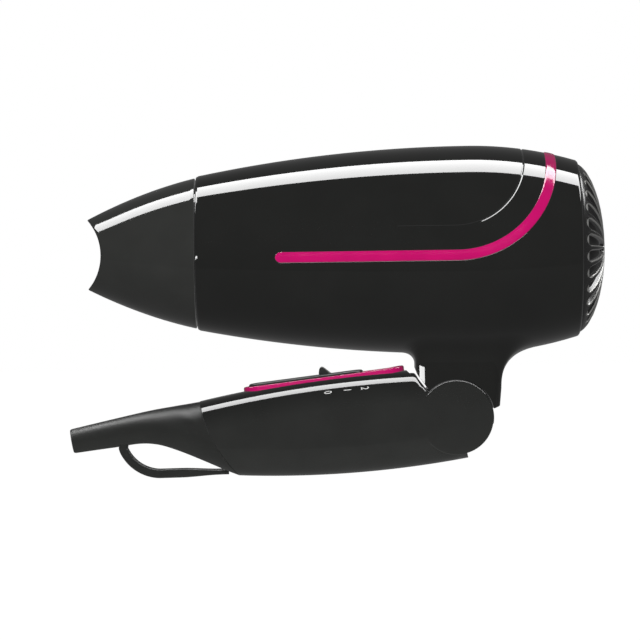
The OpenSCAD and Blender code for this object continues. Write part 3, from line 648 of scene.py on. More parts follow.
band_c, band_arc, band_x0, band_half = (peak_x - 6, barrel_r - 5.5), 38.0, 31.6, 2.1
shut_c, shut_arc, shut_x0 = (peak_x - 7, barrel_r - 4), 28.0, 79.4


def band_cutter():
    section = [(-1, 1.6), (-1, 0.05), (-0.97, -0.05), (-0.97, -0.75), (0.97, -0.75), (0.97, -0.05), (1, 0.05), (1, 1.6)]
    return hook_sweep("band_recess", band_c, band_arc, band_x0 - 0.12, band_half + 0.12, section)


def shut_cutter():
    section = [(-1.25, 0.5), (-1.05, 0), (-0.42, -0.27), (-0.3, -0.6), (0.3, -0.6), (0.36, -0.12), (0.5, 0), (0.6, 0.5)]
    return hook_sweep("shut_groove", shut_c, shut_arc, shut_x0, 0.62, section, tip=False)


def trim_band():
    """Magenta band with a crowned face and eased edges."""
    section = [(-0.99, -0.7), (-1, -0.02), (-0.95, 0.13), (-0.84, 0.22), (-0.6, 0.29), (-0.25, 0.335), (0.15, 0.345),
               (0.5, 0.32), (0.72, 0.27), (0.86, 0.13), (0.97, -0.04), (0.99, -0.7)]
    return shade(hook_sweep("trim_band_moulding", band_c, band_arc, band_x0, band_half, section), crease=50)


def screw_room(at, y0, r=3.0):
    """Cutter for a screw's recess on the right side."""
    return prism("screw_room", circle(at, r, 0, 352.5, 47), y0, half_w + 12)


housing_screws = [(hinge[0] - 8, hinge[1] + 21.8), (hinge[0] + 11.5, hinge[1] + 21.8)]


def make_housing():
    right = barrel_half()
    carve(right, neck_half(), "UNION")
    carve(right, tongue_half_solid(), "UNION")
    carve(right, band_cutter())
    carve(right, shut_cutter())
    left = mirrored(right, "housing_left_moulding")
    for at in housing_screws:
        carve(right, screw_room(at, half_w - 3.4))
    shade(right, housing_normal)
    shade(left, housing_normal)
    hand_in(right, "barrel", "barrel_gloss", "housing_right")
    hand_in(left, "barrel", "barrel_gloss", "housing_left")
    hand_in(trim_band(), "barrel", "magenta_gloss", "trim_band")


# ------------------------------------------------------------------ handle
crown_arc, belly_arc, seam_arc = 475.0, 420.0, 58.0
crown_c = (hinge[0] + 3, hinge[1] + 19.1 - crown_arc)
belly_c = (hinge[0] - 67.5, hinge[1] - 22.8 + belly_arc)
seam_c = (foremost + seam_arc, hinge[1] + 18.4)
corner_r = 12.5
end_r = 5.0
notch = about_hinge(cheek_r + 0.7, 136.3)
corner = (notch[0] - 4, notch[1] + 5.1)


def crown_z(x):
    return crown_c[1] + math.sqrt(crown_arc ** 2 - (x - crown_c[0]) ** 2)


def belly_z(x):
    return belly_c[1] - math.sqrt(belly_arc ** 2 - (x - belly_c[0]) ** 2)


def seam_x(z):
    return seam_c[0] - math.sqrt(seam_arc ** 2 - (z - seam_c[1]) ** 2)


def end_x(z):
    """Sloping end of the handle, which leads into the notch."""
    lower = (corner[0] - notch[0]) / (corner[1] - notch[1])
    upper = -0.4
    d = z - corner[1]
    soft = 0.8
    return corner[0] + lower * d + (upper - lower) * (d + math.sqrt(d * d + soft * soft)) / 2 - 0.12


def round_drop(d, r):
    """How far a rounded edge falls at a depth d inside it, and its slope."""
    if d >= r:
        return 0.0, 0.0
    rest = r - max(d, 0.0)
    low = math.sqrt(max(r * r - rest * rest, 1e-8))
    return r - low, rest / low


def handle_side(x, z):
    """Half thickness of the handle at a place in the side view, and its normal."""
    vx, vz = x - crown_c[0], z - crown_c[1]
    v = math.hypot(vx, vz)
    over, slope = round_drop(crown_arc - v, corner_r)
    over_n = Vector((vx / v * slope, 0, vz / v * slope))
    y, n = half_w, Vector((0, 1, 0))
    vx, vz = x - belly_c[0], z - belly_c[1]
    v = math.hypot(vx, vz)
    drop, slope = round_drop(belly_arc - v, corner_r)
    y -= drop
    n += Vector((vx / v * slope, 0, vz / v * slope))
    steep = (end_x(z + 0.05) - end_x(z - 0.05)) / 0.1
    g = math.hypot(1, steep)
    fade = ease((z - notch[1] + 0.6) / 2.4)
    drop, slope = round_drop((end_x(z) - x) / g, end_r)
    both = (over ** 3 + (drop * fade) ** 3) ** (1 / 3)
    y -= both
    if both > 1e-6:
        n += over_n * (over / both) ** 2 + Vector((slope / g, 0, -steep * slope / g)) * fade * (drop * fade / both) ** 2
    vx, vz = x - seam_c[0], z - seam_c[1]
    v = math.hypot(vx, vz)
    drop, slope = round_drop(seam_arc - v, 0.4)
    y -= drop
    n += Vector((vx / v * slope, 0, vz / v * slope))
    return max(y, 0.0), n.normalized()


def handle_normal(p):
    x, y, z = p
    y_side, n = handle_side(x, z)
    if abs(abs(y) - y_side) < 0.06 and y_side > 3.05 and x > foremost:
        return Vector((n.x, n.y if y > 0 else -n.y, n.z))
    if abs(y) < 3.2 and x > foremost + 0.3:
        for c, arc in ((crown_c, crown_arc), (belly_c, belly_arc)):
            v = Vector((x - c[0], 0, z - c[1]))
            if abs(v.length - arc) < 0.03:
                return v.normalized()
    return None


def solve(fn, lo, hi):
    """Root of a falling or rising function between two values."""
    rising = fn(hi) > fn(lo)
    for _ in range(34):
        mid = (lo + hi) / 2
        if (fn(mid) > 0) == rising:
            hi = mid
        else:
            lo = mid
    return (lo + hi) / 2


def grip_half():
    """Right half of the handle from the sleeve's seam to the line through the notch."""
    z0 = crown_z(foremost) + 0.3
    z1 = belly_z(foremost + 15.5)
    z2, z3 = crown_z(corner[0] - 1.2), -84.6

    def place(u, v):
        za, zb = z0 + (z1 - z0) * v, z2 + (z3 - z2) * v
        xa, xb = seam_x(za), end_x(zb)
        return xa + (xb - xa) * u, za + (zb - za) * u

    def crown_depth(u, v, want):
        x, z = place(u, v)
        return crown_arc - math.hypot(x - crown_c[0], z - crown_c[1]) - want

    def belly_depth(u, v, want):
        x, z = place(u, v)
        return belly_arc - math.hypot(x - belly_c[0], z - belly_c[1]) - want

    depths = [corner_r * (1 - math.cos(math.radians(a))) for a in spread(0, 90, 18)]
    us = [0, 0.0012, 0.0026, 0.0045] + spread(0.0045, 0.9, 56)[1:] + spread(0.9, 1, 22)[1:]
    rows = []
    for u in us:
        top = [solve(lambda v, d=d: crown_depth(u, v, d), -0.2, 0.62) for d in depths]
        low = [solve(lambda v, d=d: belly_depth(u, v, d), 0.38, 1.2) for d in depths]
        vs = top + spread(top[-1], low[-1], 9)[1:-1] + list(reversed(low))
        side = [place(u, v) for v in vs]
        thick = [handle_side(x, z)[0] for x, z in side]
        (xa, za), (xb, zb) = side[0], side[-1]
        loop = [(xa, 0, za - seam_notch), (xa, min(seam_notch, thick[0]), za)]
        loop += [(x, y, z) for (x, z), y in zip(side, thick)]
        loop += [(xb, min(seam_notch, thick[-1]), zb), (xb, 0, zb + seam_notch)]
        rows.append(loop)
    first = [(x, 0, z) for x, y, z in rows[0]]
    last = [(x, 0, z) for x, y, z in rows[-1]]
    return loft("handle_right_moulding", [first] + rows + [last])


# Switch plane
switch_x = hinge[0] - 52.5
switch_rad = math.asin((crown_c[0] - switch_x) / crown_arc)
on_switch = (
    Matrix.Translation((switch_x * MM, 0, crown_z(switch_x) * MM)) @ Matrix.Rotation(-switch_rad, 4, "Y")
)
pocket = 2.2
slider_len, slider_w, travel, rail = 46.0, 9.0, 13.2, 1.7
trim_len = slider_len + travel + 2 * rail + 2
trim_w = slider_w + 2 * rail + 0.8
slider_mid = -trim_len / 2 + rail + 0.5 + slider_len / 2


def stadium(length, width, n=16):
    """Plan points of a bar with round ends, and their outward directions."""
    out = []
    for side in (1, -1):
        c = side * (length - width) / 2
        for a in spread(-90, 90, n):
            t = math.radians(a)
            dx, dy = side * math.cos(t), side * math.sin(t)
            out.append((c + dx * width / 2, dy * width / 2, dx, dy))
        mids = spread(side * (length - width) / 2, -side * (length - width) / 2, 12)[1:-1]
        out += [(x, side * width / 2, 0, side) for x in mids]
    return out


def switch_place(piece):
    piece.data.transform(on_switch)
    return piece


def switch_pocket():
    rows = [[(x, y, z) for x, y, _, _ in stadium(trim_len + 0.2, trim_w + 0.2)] for z in (-pocket, 20)]
    return switch_place(loft("switch_pocket", rows))


def lever_slot():
    room = [(-2.8, -2.2), (16, -2.2), (16, 2.2), (-2.8, 2.2)]
    return switch_place(loft("lever_slot", [[(x, y, z) for x, y in room] for z in (-9, 11)]))


screws_lo, screws_hi = box_mm("handle_screws")
handle_screws = [(screws_lo.x + 2.7, screws_lo.z + 2.7), (screws_hi.x - 2.7, screws_hi.z - 2.7)]


def make_handle():
    right = grip_half()
    carve(right, prism("cheek", circle(hinge, cheek_r, 0, 357, 119), 0, half_w, 0.7), "UNION")
    heel = [about_hinge(cheek_r - 0.2, a) for a in spread(heel_deg, -10, 24)] + [about_hinge(40, -10), about_hinge(40, heel_deg)]
    carve(right, prism("heel_room", heel, -1, half_w + 2))
    slot = [about_hinge(30, a) for a in spread(heel_deg, 136.3, 16)] + circle(hinge, tongue_r + 0.6, 136.3, 360 + heel_deg, 60)
    carve(right, prism("tongue_room", slot, -1, cheek_in))
    carve(right, switch_pocket())
    carve(right, lever_slot())
    left = mirrored(right, "handle_left_moulding")
    for at in handle_screws:
        carve(right, screw_room(at, half_w - 4.4))
    shade(right, handle_normal)
    shade(left, handle_normal)
    hand_in(right, "handle", "handle_gloss", "handle_right")
    hand_in(left, "handle", "handle_gloss", "handle_left")


# ------------------------------------------------------------------ switch
def make_switch():
    def rise(x):
        start = trim_len / 2 - 6
        return max(x - start, 0) * math.tan(math.radians(4))

    top, low = 0.62, 0.05 - pocket
    section = [(0, low), (0, top - 0.55), (-0.12, top - 0.25), (-0.4, top - 0.04), (-rail / 2, top + 0.02),
               (-rail + 0.4, top - 0.04), (-rail + 0.12, top - 0.25), (-rail, top - 0.55), (-rail, low)]
    plan = stadium(trim_len, trim_w, 24)
    rows = []
    for x, y, dx, dy in plan:
        rows.append([(x + dx * d, y + dy * d, h + (rise(x) if h > low else 0)) for d, h in section])
    ring = switch_place(loft("switch_trim_moulding", rows, ring=True))
    hand_in(shade(ring, crease=60), "handle", "magenta_gloss", "switch_trim")

    plan = stadium(slider_len, slider_w, 18)
    layers = [(0, -1.8), (0, 0.9), (0.12, 1.2), (0.4, 1.45), (0.9, 1.6), (1.8, 1.68)]
    rows = [[(slider_mid + x - dx * d, y - dy * d, z) for x, y, dx, dy in plan] for d, z in layers]
    rows.append([(slider_mid + x * 0.3, 0, 1.7) for x, y, dx, dy in plan])
    plate = switch_place(loft("slider_moulding", rows))
    fin = [(-1.8, 1.2), (-1.75, 2.4), (-1.45, 3.6), (-1.0, 4.35), (-0.5, 4.68), (0.1, 4.62), (0.8, 4.1), (1.7, 3.2),
           (2.7, 2.2), (3.6, 1.2)]
    half = prism("fin", fin, 0, 3, 0.5)
    other = mirrored(half, "fin_other")
    for part in (half, other):
        carve(plate, switch_place(part), "UNION")
    hand_in(shade(plate, crease=40), "switch", "slider_satin", "slider")


def make_digits():
    """Switch places 0, 1 and 2, printed on both shells beside the rail."""
    for text, x0 in (("0", switch_x + 0.8), ("1", switch_x + 8.6), ("2", switch_x + 15.6)):
        for side in (-1, 1):
            curve = bpy.data.curves.new("place_" + text, "FONT")
            curve.body = text
            curve.size = 4.6
            curve.align_x = curve.align_y = "CENTER"
            curve.resolution_u = 6
            curve.offset = 0.03
            lettering = new_piece("place_" + text, curve)
            mesh = finished_mesh(lettering)
            bpy.data.objects.remove(lettering)
            work = bmesh.new()
            work.from_mesh(mesh)
            bmesh.ops.triangulate(work, faces=work.faces)
            bmesh.ops.subdivide_edges(work, edges=work.edges, cuts=2)
            for v in work.verts:
                along, across = v.co.y, -v.co.x * side
                angle = 0.96 + across * 0.62 / corner_r
                x = x0 + along * 0.95
                depth = corner_r * (1 - math.cos(angle))
                top = Vector((x - crown_c[0], 0, crown_z(x) - crown_c[1])).normalized()
                spot = Vector((x, 0, crown_z(x))) - top * depth
                y = half_w - corner_r + corner_r * math.sin(angle)
                lift = top * math.cos(angle) * 0.03
                v.co = Vector((spot.x + lift.x, side * (y + 0.03 * math.sin(angle)), spot.z + lift.z)) * MM
            bmesh.ops.recalc_face_normals(work, faces=work.faces)
            work.faces.ensure_lookup_table()
            if work.faces[0].normal.y * side < 0:
                bmesh.ops.reverse_faces(work, faces=work.faces)
            work.to_mesh(mesh)
            work.free()
            mark = new_piece(f"place_{text}_{'right' if side > 0 else 'left'}", mesh)
            hand_in(mark, "handle", "handle_gloss", finish=print_white)


# ------------------------------------------------------------------ sleeve and loop
tip_lo = box_mm("cord_sleeve")[0]
sleeve_rad = math.radians(9.4)
tip_r, bore_r = 4.85, 3.3
tip_z = -74.476
tip = (tip_lo.x + tip_r * math.sin(sleeve_rad), tip_z)


def smooth_path(points, t):
    """Catmull-Rom curve through points, t from 0 to 1."""
    n = len(points) - 1
    i = min(int(t * n), n - 1)
    f = t * n - i
    p = [Vector(points[min(max(i + k, 0), n)]) for k in (-1, 0, 1, 2)]
    if i == 0:
        p[0] = 2 * p[1] - p[2]
    if i == n - 1:
        p[3] = 2 * p[2] - p[1]
    return 0.5 * (2 * p[1] + (p[2] - p[0]) * f + (2 * p[0] - 5 * p[1] + 4 * p[2] - p[3]) * f * f
                  + (3 * p[1] - p[0] - 3 * p[2] + p[3]) * f ** 3)


def rounded_section(half_y, half_z, r):
    """Points of a rounded rectangle as (y, z)."""
    out = []
    for sy, sz, a0 in ((1, 1, 0), (-1, 1, 90), (-1, -1, 180), (1, -1, 270)):
        for a in spread(a0, a0 + 90, 12):
            t = math.radians(a)
            out.append((sy * (half_y - r) + r * math.cos(t), sz * (half_z - r) + r * math.sin(t)))
    return out


def make_sleeve():
    s, c = math.sin(sleeve_rad), math.cos(sleeve_rad)
    seam_top = (seam_x(crown_z(foremost)) - 0.1, crown_z(foremost))
    low_z = belly_z(foremost + 16.6)
    seam_low = (seam_x(low_z) - 0.1, low_z)
    top = [(tip[0] - s * tip_r, tip[1] + c * tip_r), (-36, -66.1), (-21, -62.9), (-10.5, -61.2), seam_top]
    low = [(tip[0] + s * tip_r, tip[1] - c * tip_r), (-35, -77.3), (-20.5, -75.7), (-7.5, -78.8), seam_low]
    rows = []
    for u in [0, 0.006, 0.014] + spread(0.014, 1, 44)[1:]:
        a, b = smooth_path(top, u), smooth_path(low, u)
        mid, axis = (a + b) / 2, (a - b) / 2
        tall = axis.length
        axis.normalize()
        grow = ease((u - 0.25) / 0.75)
        wide = tall + (half_w - tall) * grow
        shrink = {0: 0.35, 0.006: 0.1}.get(u, 0.0)
        r = min(tall, wide, 40 + (corner_r - 40) * ease(u)) - 0.001
        loop = []
        for y, h in rounded_section(wide - shrink, tall - shrink, max(r - shrink, 0.5)):
            x, z = mid[0] + axis[0] * h, mid[1] + axis[1] * h
            bulge = seam_x(z) - 0.12 - (seam_top[0] + (seam_low[0] - seam_top[0]) * (seam_top[1] - z) / (seam_top[1] - seam_low[1]))
            loop.append((x + (bulge * u ** 8 if u > 0.3 else 0), y, z))
        rows.append(loop)
    n = len(rows[0])
    inner = []
    for depth, r in ((14, bore_r), (0.35, bore_r), (0, bore_r + 0.3)):
        centre = (tip[0] + c * depth, tip[1] + s * depth)
        inner.append([(centre[0] - s * z, y, centre[1] + c * z) for y, z in rounded_section(r, r, r - 0.001)])
    edge = rows[-1]
    lip = [(x + 0.1, y * 0.985, z - (z + 74) * 0.015) for x, y, z in edge]
    shut = [(8, 0, -74)] * n
    sleeve = loft("cord_sleeve_moulding", inner + rows + [lip, shut])

    loop_r1, loop_t, loop_w = 18.0, 3.6, 7.0
    root_x = tip[0] + 27.4 * c
    loop_c = (root_x + 8.5, belly_z(foremost + 11) + loop_r1 - 1.02)
    mid_r = loop_r1 - loop_t / 2
    path = [(loop_c[0] - mid_r + 1.6, loop_c[1] - 2.6)] + circle(loop_c, mid_r, 202, 268, 24)
    last = path[-1]
    finish = (foremost + 12.2, belly_z(foremost + 12.2) + 1.3)
    path += [tuple(Vector(last) + (Vector(finish) - Vector(last)) * t) for t in spread(0, 1, 10)[1:]]
    strap = []
    for i, (x, z) in enumerate(path):
        ax, az = path[max(i - 1, 0)]
        bx, bz = path[min(i + 1, len(path) - 1)]
        size = math.hypot(bx - ax, bz - az)
        nx, nz = -(bz - az) / size, (bx - ax) / size
        thin = loop_t / 2 * (1 - 0.4 * ease((x - loop_c[0] - 8) / 16))
        strap.append([(x + nx * h, y, z + nz * h) for y, h in rounded_section(loop_w / 2, thin, 1.15)])
    carve(sleeve, loft("loop_strap", strap), "UNION")
    hand_in(shade(sleeve, crease=42), "handle", "sleeve_rubber", "cord_sleeve")


# ------------------------------------------------------------------ nozzle
mouth_h, mouth_w, nozzle_wall, mouth_arc = 28.0, 16.0, 1.6, 20.0
gap_x = 0.4
spigot_r, spigot_bore_r = 27.6, 26.0
groove_x0, groove_x1, groove_deep = 2.45, 4.15, 0.8


def nozzle_tall(x):
    t = (-x - gap_x) / (nozzle_len - gap_x)
    return nozzle_r + (mouth_h / 2 - nozzle_r) * (0.62 * t + 0.38 * t * t)


def nozzle_wide(x):
    t = (-x - gap_x) / (nozzle_len - gap_x)
    return nozzle_r + (mouth_w / 2 + nozzle_wall - nozzle_r) * (0.42 * t + 0.58 * t * t)


def make_nozzle():
    arc_x = -nozzle_len - math.sqrt(mouth_arc ** 2 - (mouth_h / 2) ** 2)
    count = 144
    rows = []
    for i in range(count):
        phi = 2 * math.pi * i / count
        cy, cz = math.cos(phi), math.sin(phi)

        def point(x, inset):
            t = min(max((-x - gap_x) / (nozzle_len - gap_x), 0), 1)
            wide, tall = nozzle_wide(x) - inset, nozzle_tall(x) - inset
            z = cz * tall
            arc = (tall * tall + wide * wide) / (2 * wide)
            lens = math.copysign(math.sqrt(max(arc * arc - z * z, 0)) - (arc - wide), cy)
            return x, cy * wide + (lens - cy * wide) * ease(t), z

        def mouth_x(inset):
            x = -nozzle_len
            for _ in range(12):
                z = min(abs(point(x, inset)[2]), mouth_arc - 0.1)
                x = arc_x + math.sqrt(mouth_arc ** 2 - z * z)
            return x

        outer_end, inner_end = mouth_x(0), mouth_x(nozzle_wall)
        loop = [(x, r * cy, r * cz) for x, r in ((-gap_x, nozzle_r - 0.5), (-gap_x - 0.12, nozzle_r - 0.18))]
        loop += [point(x, 0) for x in spread(-gap_x - 0.5, outer_end + 0.3, 34)]
        loop += [point(outer_end + 0.08, 0.1), point(outer_end, 0.32)]
        loop += [point(inner_end, nozzle_wall - 0.32), point(inner_end + 0.12, nozzle_wall - 0.08)]
        loop += [point(x, nozzle_wall) for x in spread(inner_end + 0.4, -gap_x - 2.2, 24)]
        for x, r in ((-gap_x - 2.2, spigot_bore_r), (spigot_len - 0.3, spigot_bore_r), (spigot_len, spigot_bore_r + 0.3),
                     (spigot_len, spigot_r - 0.4), (spigot_len - 0.6, spigot_r), (groove_x1, spigot_r),
                     (groove_x1, spigot_r - groove_deep), (groove_x0, spigot_r - groove_deep),
                     (groove_x0, spigot_r), (-gap_x, spigot_r)):
            loop.append((x, r * cy, r * cz))
        rows.append(loop)
    nozzle = loft("nozzle_moulding", rows, ring=True)
    hand_in(shade(nozzle, crease=34), "nozzle", "nozzle_gloss", "nozzle")


# ------------------------------------------------------------------ intake
def make_intake():
    """Domed grille of thirty bevelled slots, the woven lint mesh behind it, and a near-black domed sheet just inside
    the grille as painted shade in the slots.
    """
    slots = 30
    apex, dome_h, thick = grille_hi.x, 13.0, 2.0
    rim, r0 = intake_r - 0.1, 9.0
    dome_r, r1 = rim + 0.9, rim - 3.4
    width = math.pi * r1 / slots * 1.32
    turn = math.pi / slots

    def on_dome(r, a, depth):
        x = apex - dome_h + (dome_h - depth) * math.sqrt(max(1 - (r / (dome_r - depth)) ** 2, 0.02))
        return x, r * math.sin(a), r * math.cos(a)

    def slot_edge(grow):
        out = []
        for a in spread(-90, 90, 10):
            t = math.radians(a)
            out.append((r1 + (width / 2 + grow) * math.cos(t), (width / 2 + grow) * math.sin(t)))
        out += [(r1 + (r0 - r1) * f, width / 2 + grow + (width / 7 - width / 2) * f) for f in spread(0, 1, 6)[1:-1]]
        for a in spread(90, 270, 6):
            t = math.radians(a)
            out.append((r0 + (width / 7 + grow) * math.cos(t), (width / 7 + grow) * math.sin(t)))
        out += [(r0 + (r1 - r0) * f, -(width / 7 + grow + (width / 2 - width / 7) * f)) for f in spread(0, 1, 6)[1:-1]]
        return [(math.hypot(p, q), math.atan2(q, p)) for p, q in out]

    edges = slot_edge(0)
    border = []
    for r, a in edges:
        if r > r1:
            border.append((rim, max(min(a * 1.75, turn), -turn)))
        elif a >= 0.0:
            border.append((max(r * 1.0 if r > r0 else r * 0.8, 0.8), turn))
        else:
            border.append((max(r * 1.0 if r > r0 else r * 0.8, 0.8), -turn))
    rows = [[on_dome(min(r, rim - 1.6), a, thick) for r, a in border]]
    rows.append([on_dome(r, a, thick) for r, a in edges])
    rows.append([on_dome(r, a, 0.55) for r, a in edges])
    rows.append([on_dome(r, a, 0.12) for r, a in slot_edge(0.22)])
    rows.append([on_dome(r, a, 0.0) for r, a in slot_edge(0.45)])
    rows.append([on_dome(min(r, rim - 0.8) if r > r1 else r, a, 0.0) for r, a in border])
    sector = bpy.data.meshes.new("grille_sector")
    n = len(edges)
    points = [Vector(p) * MM for row in rows for p in row]
    faces = [(i * n + j, i * n + (j + 1) % n, (i + 1) * n + (j + 1) % n, (i + 1) * n + j) for i in range(len(rows) - 1) for j in range(n)]
    sector.from_pydata(points, [], faces)
    grille = new_piece("intake_grille_moulding", sector)
    repeated(grille, slots, turn=(360 / slots, 0, 0), weld=2e-5, finish=finishes["grille_gloss"])
    screen_x = grille_lo.x

    def turned(name, profile, count=120):
        rows = []
        for i in range(count):
            t = 2 * math.pi * i / count
            rows.append([(x, r * math.sin(t), r * math.cos(t)) for x, r in profile])
        return loft(name, rows, ring=True)

    seat = on_dome(rim, 0, 0)[0]
    edge = [(on_dome(r, 0, 0.02)[0], r) for r in (rim - 0.12, rim - 0.35, rim - 0.8, rim - 1.6)]
    ring = turned("grille_ring", [(screen_x, rim - 2), (screen_x, rim), (seat - 0.3, rim), *edge, (seat - 0.6, rim - 2)])
    hub = ((0.01, 0), (3, 0), (6, 0), (7.4, 0), (7.4, thick), (0.01, thick))
    cap = turned("grille_hub", [(on_dome(r, 0, d)[0], r) for r, d in hub], 60)
    for part in (ring, cap):
        work = bmesh.new()
        work.from_mesh(grille.data)
        work.from_mesh(part.data)
        work.to_mesh(grille.data)
        work.free()
        bpy.data.objects.remove(part)
    work = bmesh.new()
    work.from_mesh(grille.data)
    bmesh.ops.recalc_face_normals(work, faces=work.faces)
    work.to_mesh(grille.data)
    work.free()
    hand_in(shade(grille, crease=28), "barrel", "grille_gloss", "intake_grille")
    # Bevel faces along each slot's outer edge take the light grey painted highlight.
    grille.data.materials.append(chamfer_painted_highlight)
    for face in grille.data.polygons:
        x, y, z = face.center / MM
        r, a = math.hypot(y, z), math.atan2(y, z)
        a -= round(a / (2 * turn)) * 2 * turn
        p, q = r * math.cos(a), abs(r * math.sin(a))
        if p > r1:
            gap = math.hypot(p - r1, q) - width / 2
        elif p < r0:
            gap = math.hypot(p - r0, q) - width / 7
        else:
            gap = q - (width / 7 + (width / 2 - width / 7) * (p - r0) / (r1 - r0))
        if 0.03 < gap < 0.47 and x > on_dome(min(r, rim - 0.1), 0, 0.7)[0]:
            face.material_index = 1

    lo, hi = box_mm("lint_screen")
    reach = hi.z
    wire = 0.32
    pitch = 1.25
    count = 2 * int((reach - 1) / pitch) + 1
    start = -(count - 1) / 2 * pitch
    sheets = []
    for name, swap, depth in (("wires_up", False, 0.0), ("wires_across", True, wire * 0.8)):
        section = [(-wire / 2, 0), (0, -wire / 2), (wire / 2, 0), (0, wire / 2)]
        x = (lo.x + hi.x) / 2 - 0.1 + depth
        if swap:
            rows = [[(x + b, e, start + a) for a, b in section] for e in (-reach, reach)]
        else:
            rows = [[(x + b, start + a, e) for a, b in section] for e in (-reach, reach)]
        row = loft(name, rows)
        repeated(row, count, step=(0, 0, pitch) if swap else (0, pitch, 0), finish=finishes["spring_steel"])
        disc = turned_disc("wire_trim", lo.x - 2, hi.x + 2, reach - 0.9)
        sheets.append(carve(row, disc, "INTERSECT"))
    frame_ring = turned("lint_frame", [(lo.x, reach - 1.8), (hi.x, reach - 1.8), (hi.x, reach), (lo.x, reach)])
    inside = [r * (rim - 2.4) / 12 for r in range(13)]
    # Near-black domed sheet just inside the grille, closing every slot: painted shade.
    shade_sheet = turned("painted_shade_sheet", [(on_dome(max(r, 0.01), 0, thick + 0.25)[0], max(r, 0.01)) for r in inside]
                   + [(on_dome(max(r, 0.01), 0, thick + 0.55)[0], max(r, 0.01)) for r in reversed(inside)])
    lint = sheets[0]
    work = bmesh.new()
    for part in (*sheets, frame_ring, shade_sheet):
        work.from_mesh(part.data)
    mesh = bpy.data.meshes.new("lint_screen_mesh")
    work.to_mesh(mesh)
    work.free()
    lint.data = mesh
    lint.name = "lint_screen_weave"
    for part in (sheets[1], frame_ring, shade_sheet):
        bpy.data.objects.remove(part)
    # The lint piece takes the near-black finish: its own dark colour plus painted shade in the slots.
    hand_in(shade(lint), "barrel", "duct_plastic", "lint_screen", finish=lint_black_and_painted_shade)


def turned_disc(name, x0, x1, r):
    rows = [[(x, r * math.sin(math.radians(a)), r * math.cos(math.radians(a))) for a in range(0, 360, 3)] for x in (x0, x1)]
    return loft(name, rows)


# ------------------------------------------------------------------ heater coils and screws
def make_coils():
    lo, hi = box_mm("heating_coils")
    rings, thick = 9, 1.3
    coil_r = hi.z - thick
    turns = 44
    rows = []
    for i in range(13):
        t = 2 * math.pi * i / 12
        lean = 2 * math.pi / turns * (i / 12 - 0.5)
        c = (thick * 0.86 * math.cos(t), coil_r + thick * 0.86 * math.sin(t))
        n = (math.cos(t), math.sin(t))
        wire = 0.22
        loop = []
        for k in range(4):
            a = math.pi / 2 * k
            off, side = wire * math.cos(a), wire * math.sin(a)
            x, r = c[0] + n[0] * off, c[1] + n[1] * off
            loop.append((lo.x + thick + x, r * math.sin(lean) + side, r * math.cos(lean)))
        rows.append(loop)
    coil = loft("heating_coil_windings", rows)
    repeated(coil, turns, turn=(360 / turns, 0, 0), weld=1e-6, finish=finishes["heater_wire"])
    pitch = (hi.x - lo.x - 2 * thick) / (rings - 1)
    repeated(coil, rings, step=(pitch, 0, 0), weld=1e-7, finish=finishes["heater_wire"])
    hand_in(shade(coil, crease=60), "barrel", "heater_wire", "heating_coils")


def make_screws(name, node, body, places, sink):
    """Pan-head screws with a cross recess, two to a set."""
    (x, z), (x2, z2) = places
    top = half_w - sink
    profile = [(2.7, -1.8), (2.7, -0.7), (2.5, -0.3), (2.0, -0.08), (1.2, 0.0)]
    rows = [[(x + 1.45 * math.cos(t), top - 12, z + 1.45 * math.sin(t)) for t in spread(0, 2 * math.pi, 36)[:-1]],
            [(x + 1.45 * math.cos(t), top - 1.8, z + 1.45 * math.sin(t)) for t in spread(0, 2 * math.pi, 36)[:-1]]]
    for r, h in profile:
        rows.append([(x + r * math.cos(t), top + h, z + r * math.sin(t)) for t in spread(0, 2 * math.pi, 36)[:-1]])
    one = loft("screw", rows)
    for wide, tall in ((1.7, 0.32), (0.32, 1.7)):
        plus = [(x - wide, z - tall), (x + wide, z - tall), (x + wide, z + tall), (x - wide, z + tall)]
        carve(one, prism("cross", plus, top - 1.0, top + 1))
    repeated(one, 2, step=(x2 - x, 0, z2 - z), finish=finishes["screw_steel"])
    one.name = name
    hand_in(shade(one, crease=30), body, "screw_steel", node)


make_housing()
make_handle()
make_switch()
make_digits()
make_sleeve()
make_nozzle()
make_intake()
make_coils()
make_screws("housing_screw_pair", "housing_screws", "barrel", housing_screws, 1.6)
make_screws("handle_screw_pair", "handle_screws", "handle", handle_screws, 2.6)


# ------------------------------------------------------------------ studio
scene = bpy.context.scene
scene.view_settings.view_transform = "Standard"


def lamp_material(name, seen, strength, lit=0.0):
    """White to the camera, and a chosen brightness to reflections."""
    material = bpy.data.materials.new(name)
    material.use_nodes = True
    tree = material.node_tree
    tree.nodes.clear()
    add = tree.nodes.new
    out, path, mix = add("ShaderNodeOutputMaterial"), add("ShaderNodeLightPath"), add("ShaderNodeMixShader")
    glow, plain, body, both = add("ShaderNodeEmission"), add("ShaderNodeEmission"), add("ShaderNodeBsdfDiffuse"), add("ShaderNodeAddShader")
    glow.inputs["Strength"].default_value = strength
    plain.inputs["Strength"].default_value = seen
    body.inputs["Color"].default_value = (lit, lit, lit, 1)
    tree.links.new(path.outputs["Is Camera Ray"], mix.inputs[0])
    tree.links.new(glow.outputs[0], mix.inputs[1])
    tree.links.new(plain.outputs[0], both.inputs[0])
    tree.links.new(body.outputs[0], both.inputs[1])
    tree.links.new(both.outputs[0], mix.inputs[2])
    tree.links.new(mix.outputs[0], out.inputs[0])
    return material


def sheet_of(name, corners, material):
    mesh = bpy.data.meshes.new(name)
    mesh.from_pydata([Vector(c) for c in corners], [], [tuple(range(len(corners)))])
    mesh.materials.append(material)
    made = new_piece(name, mesh)
    return made


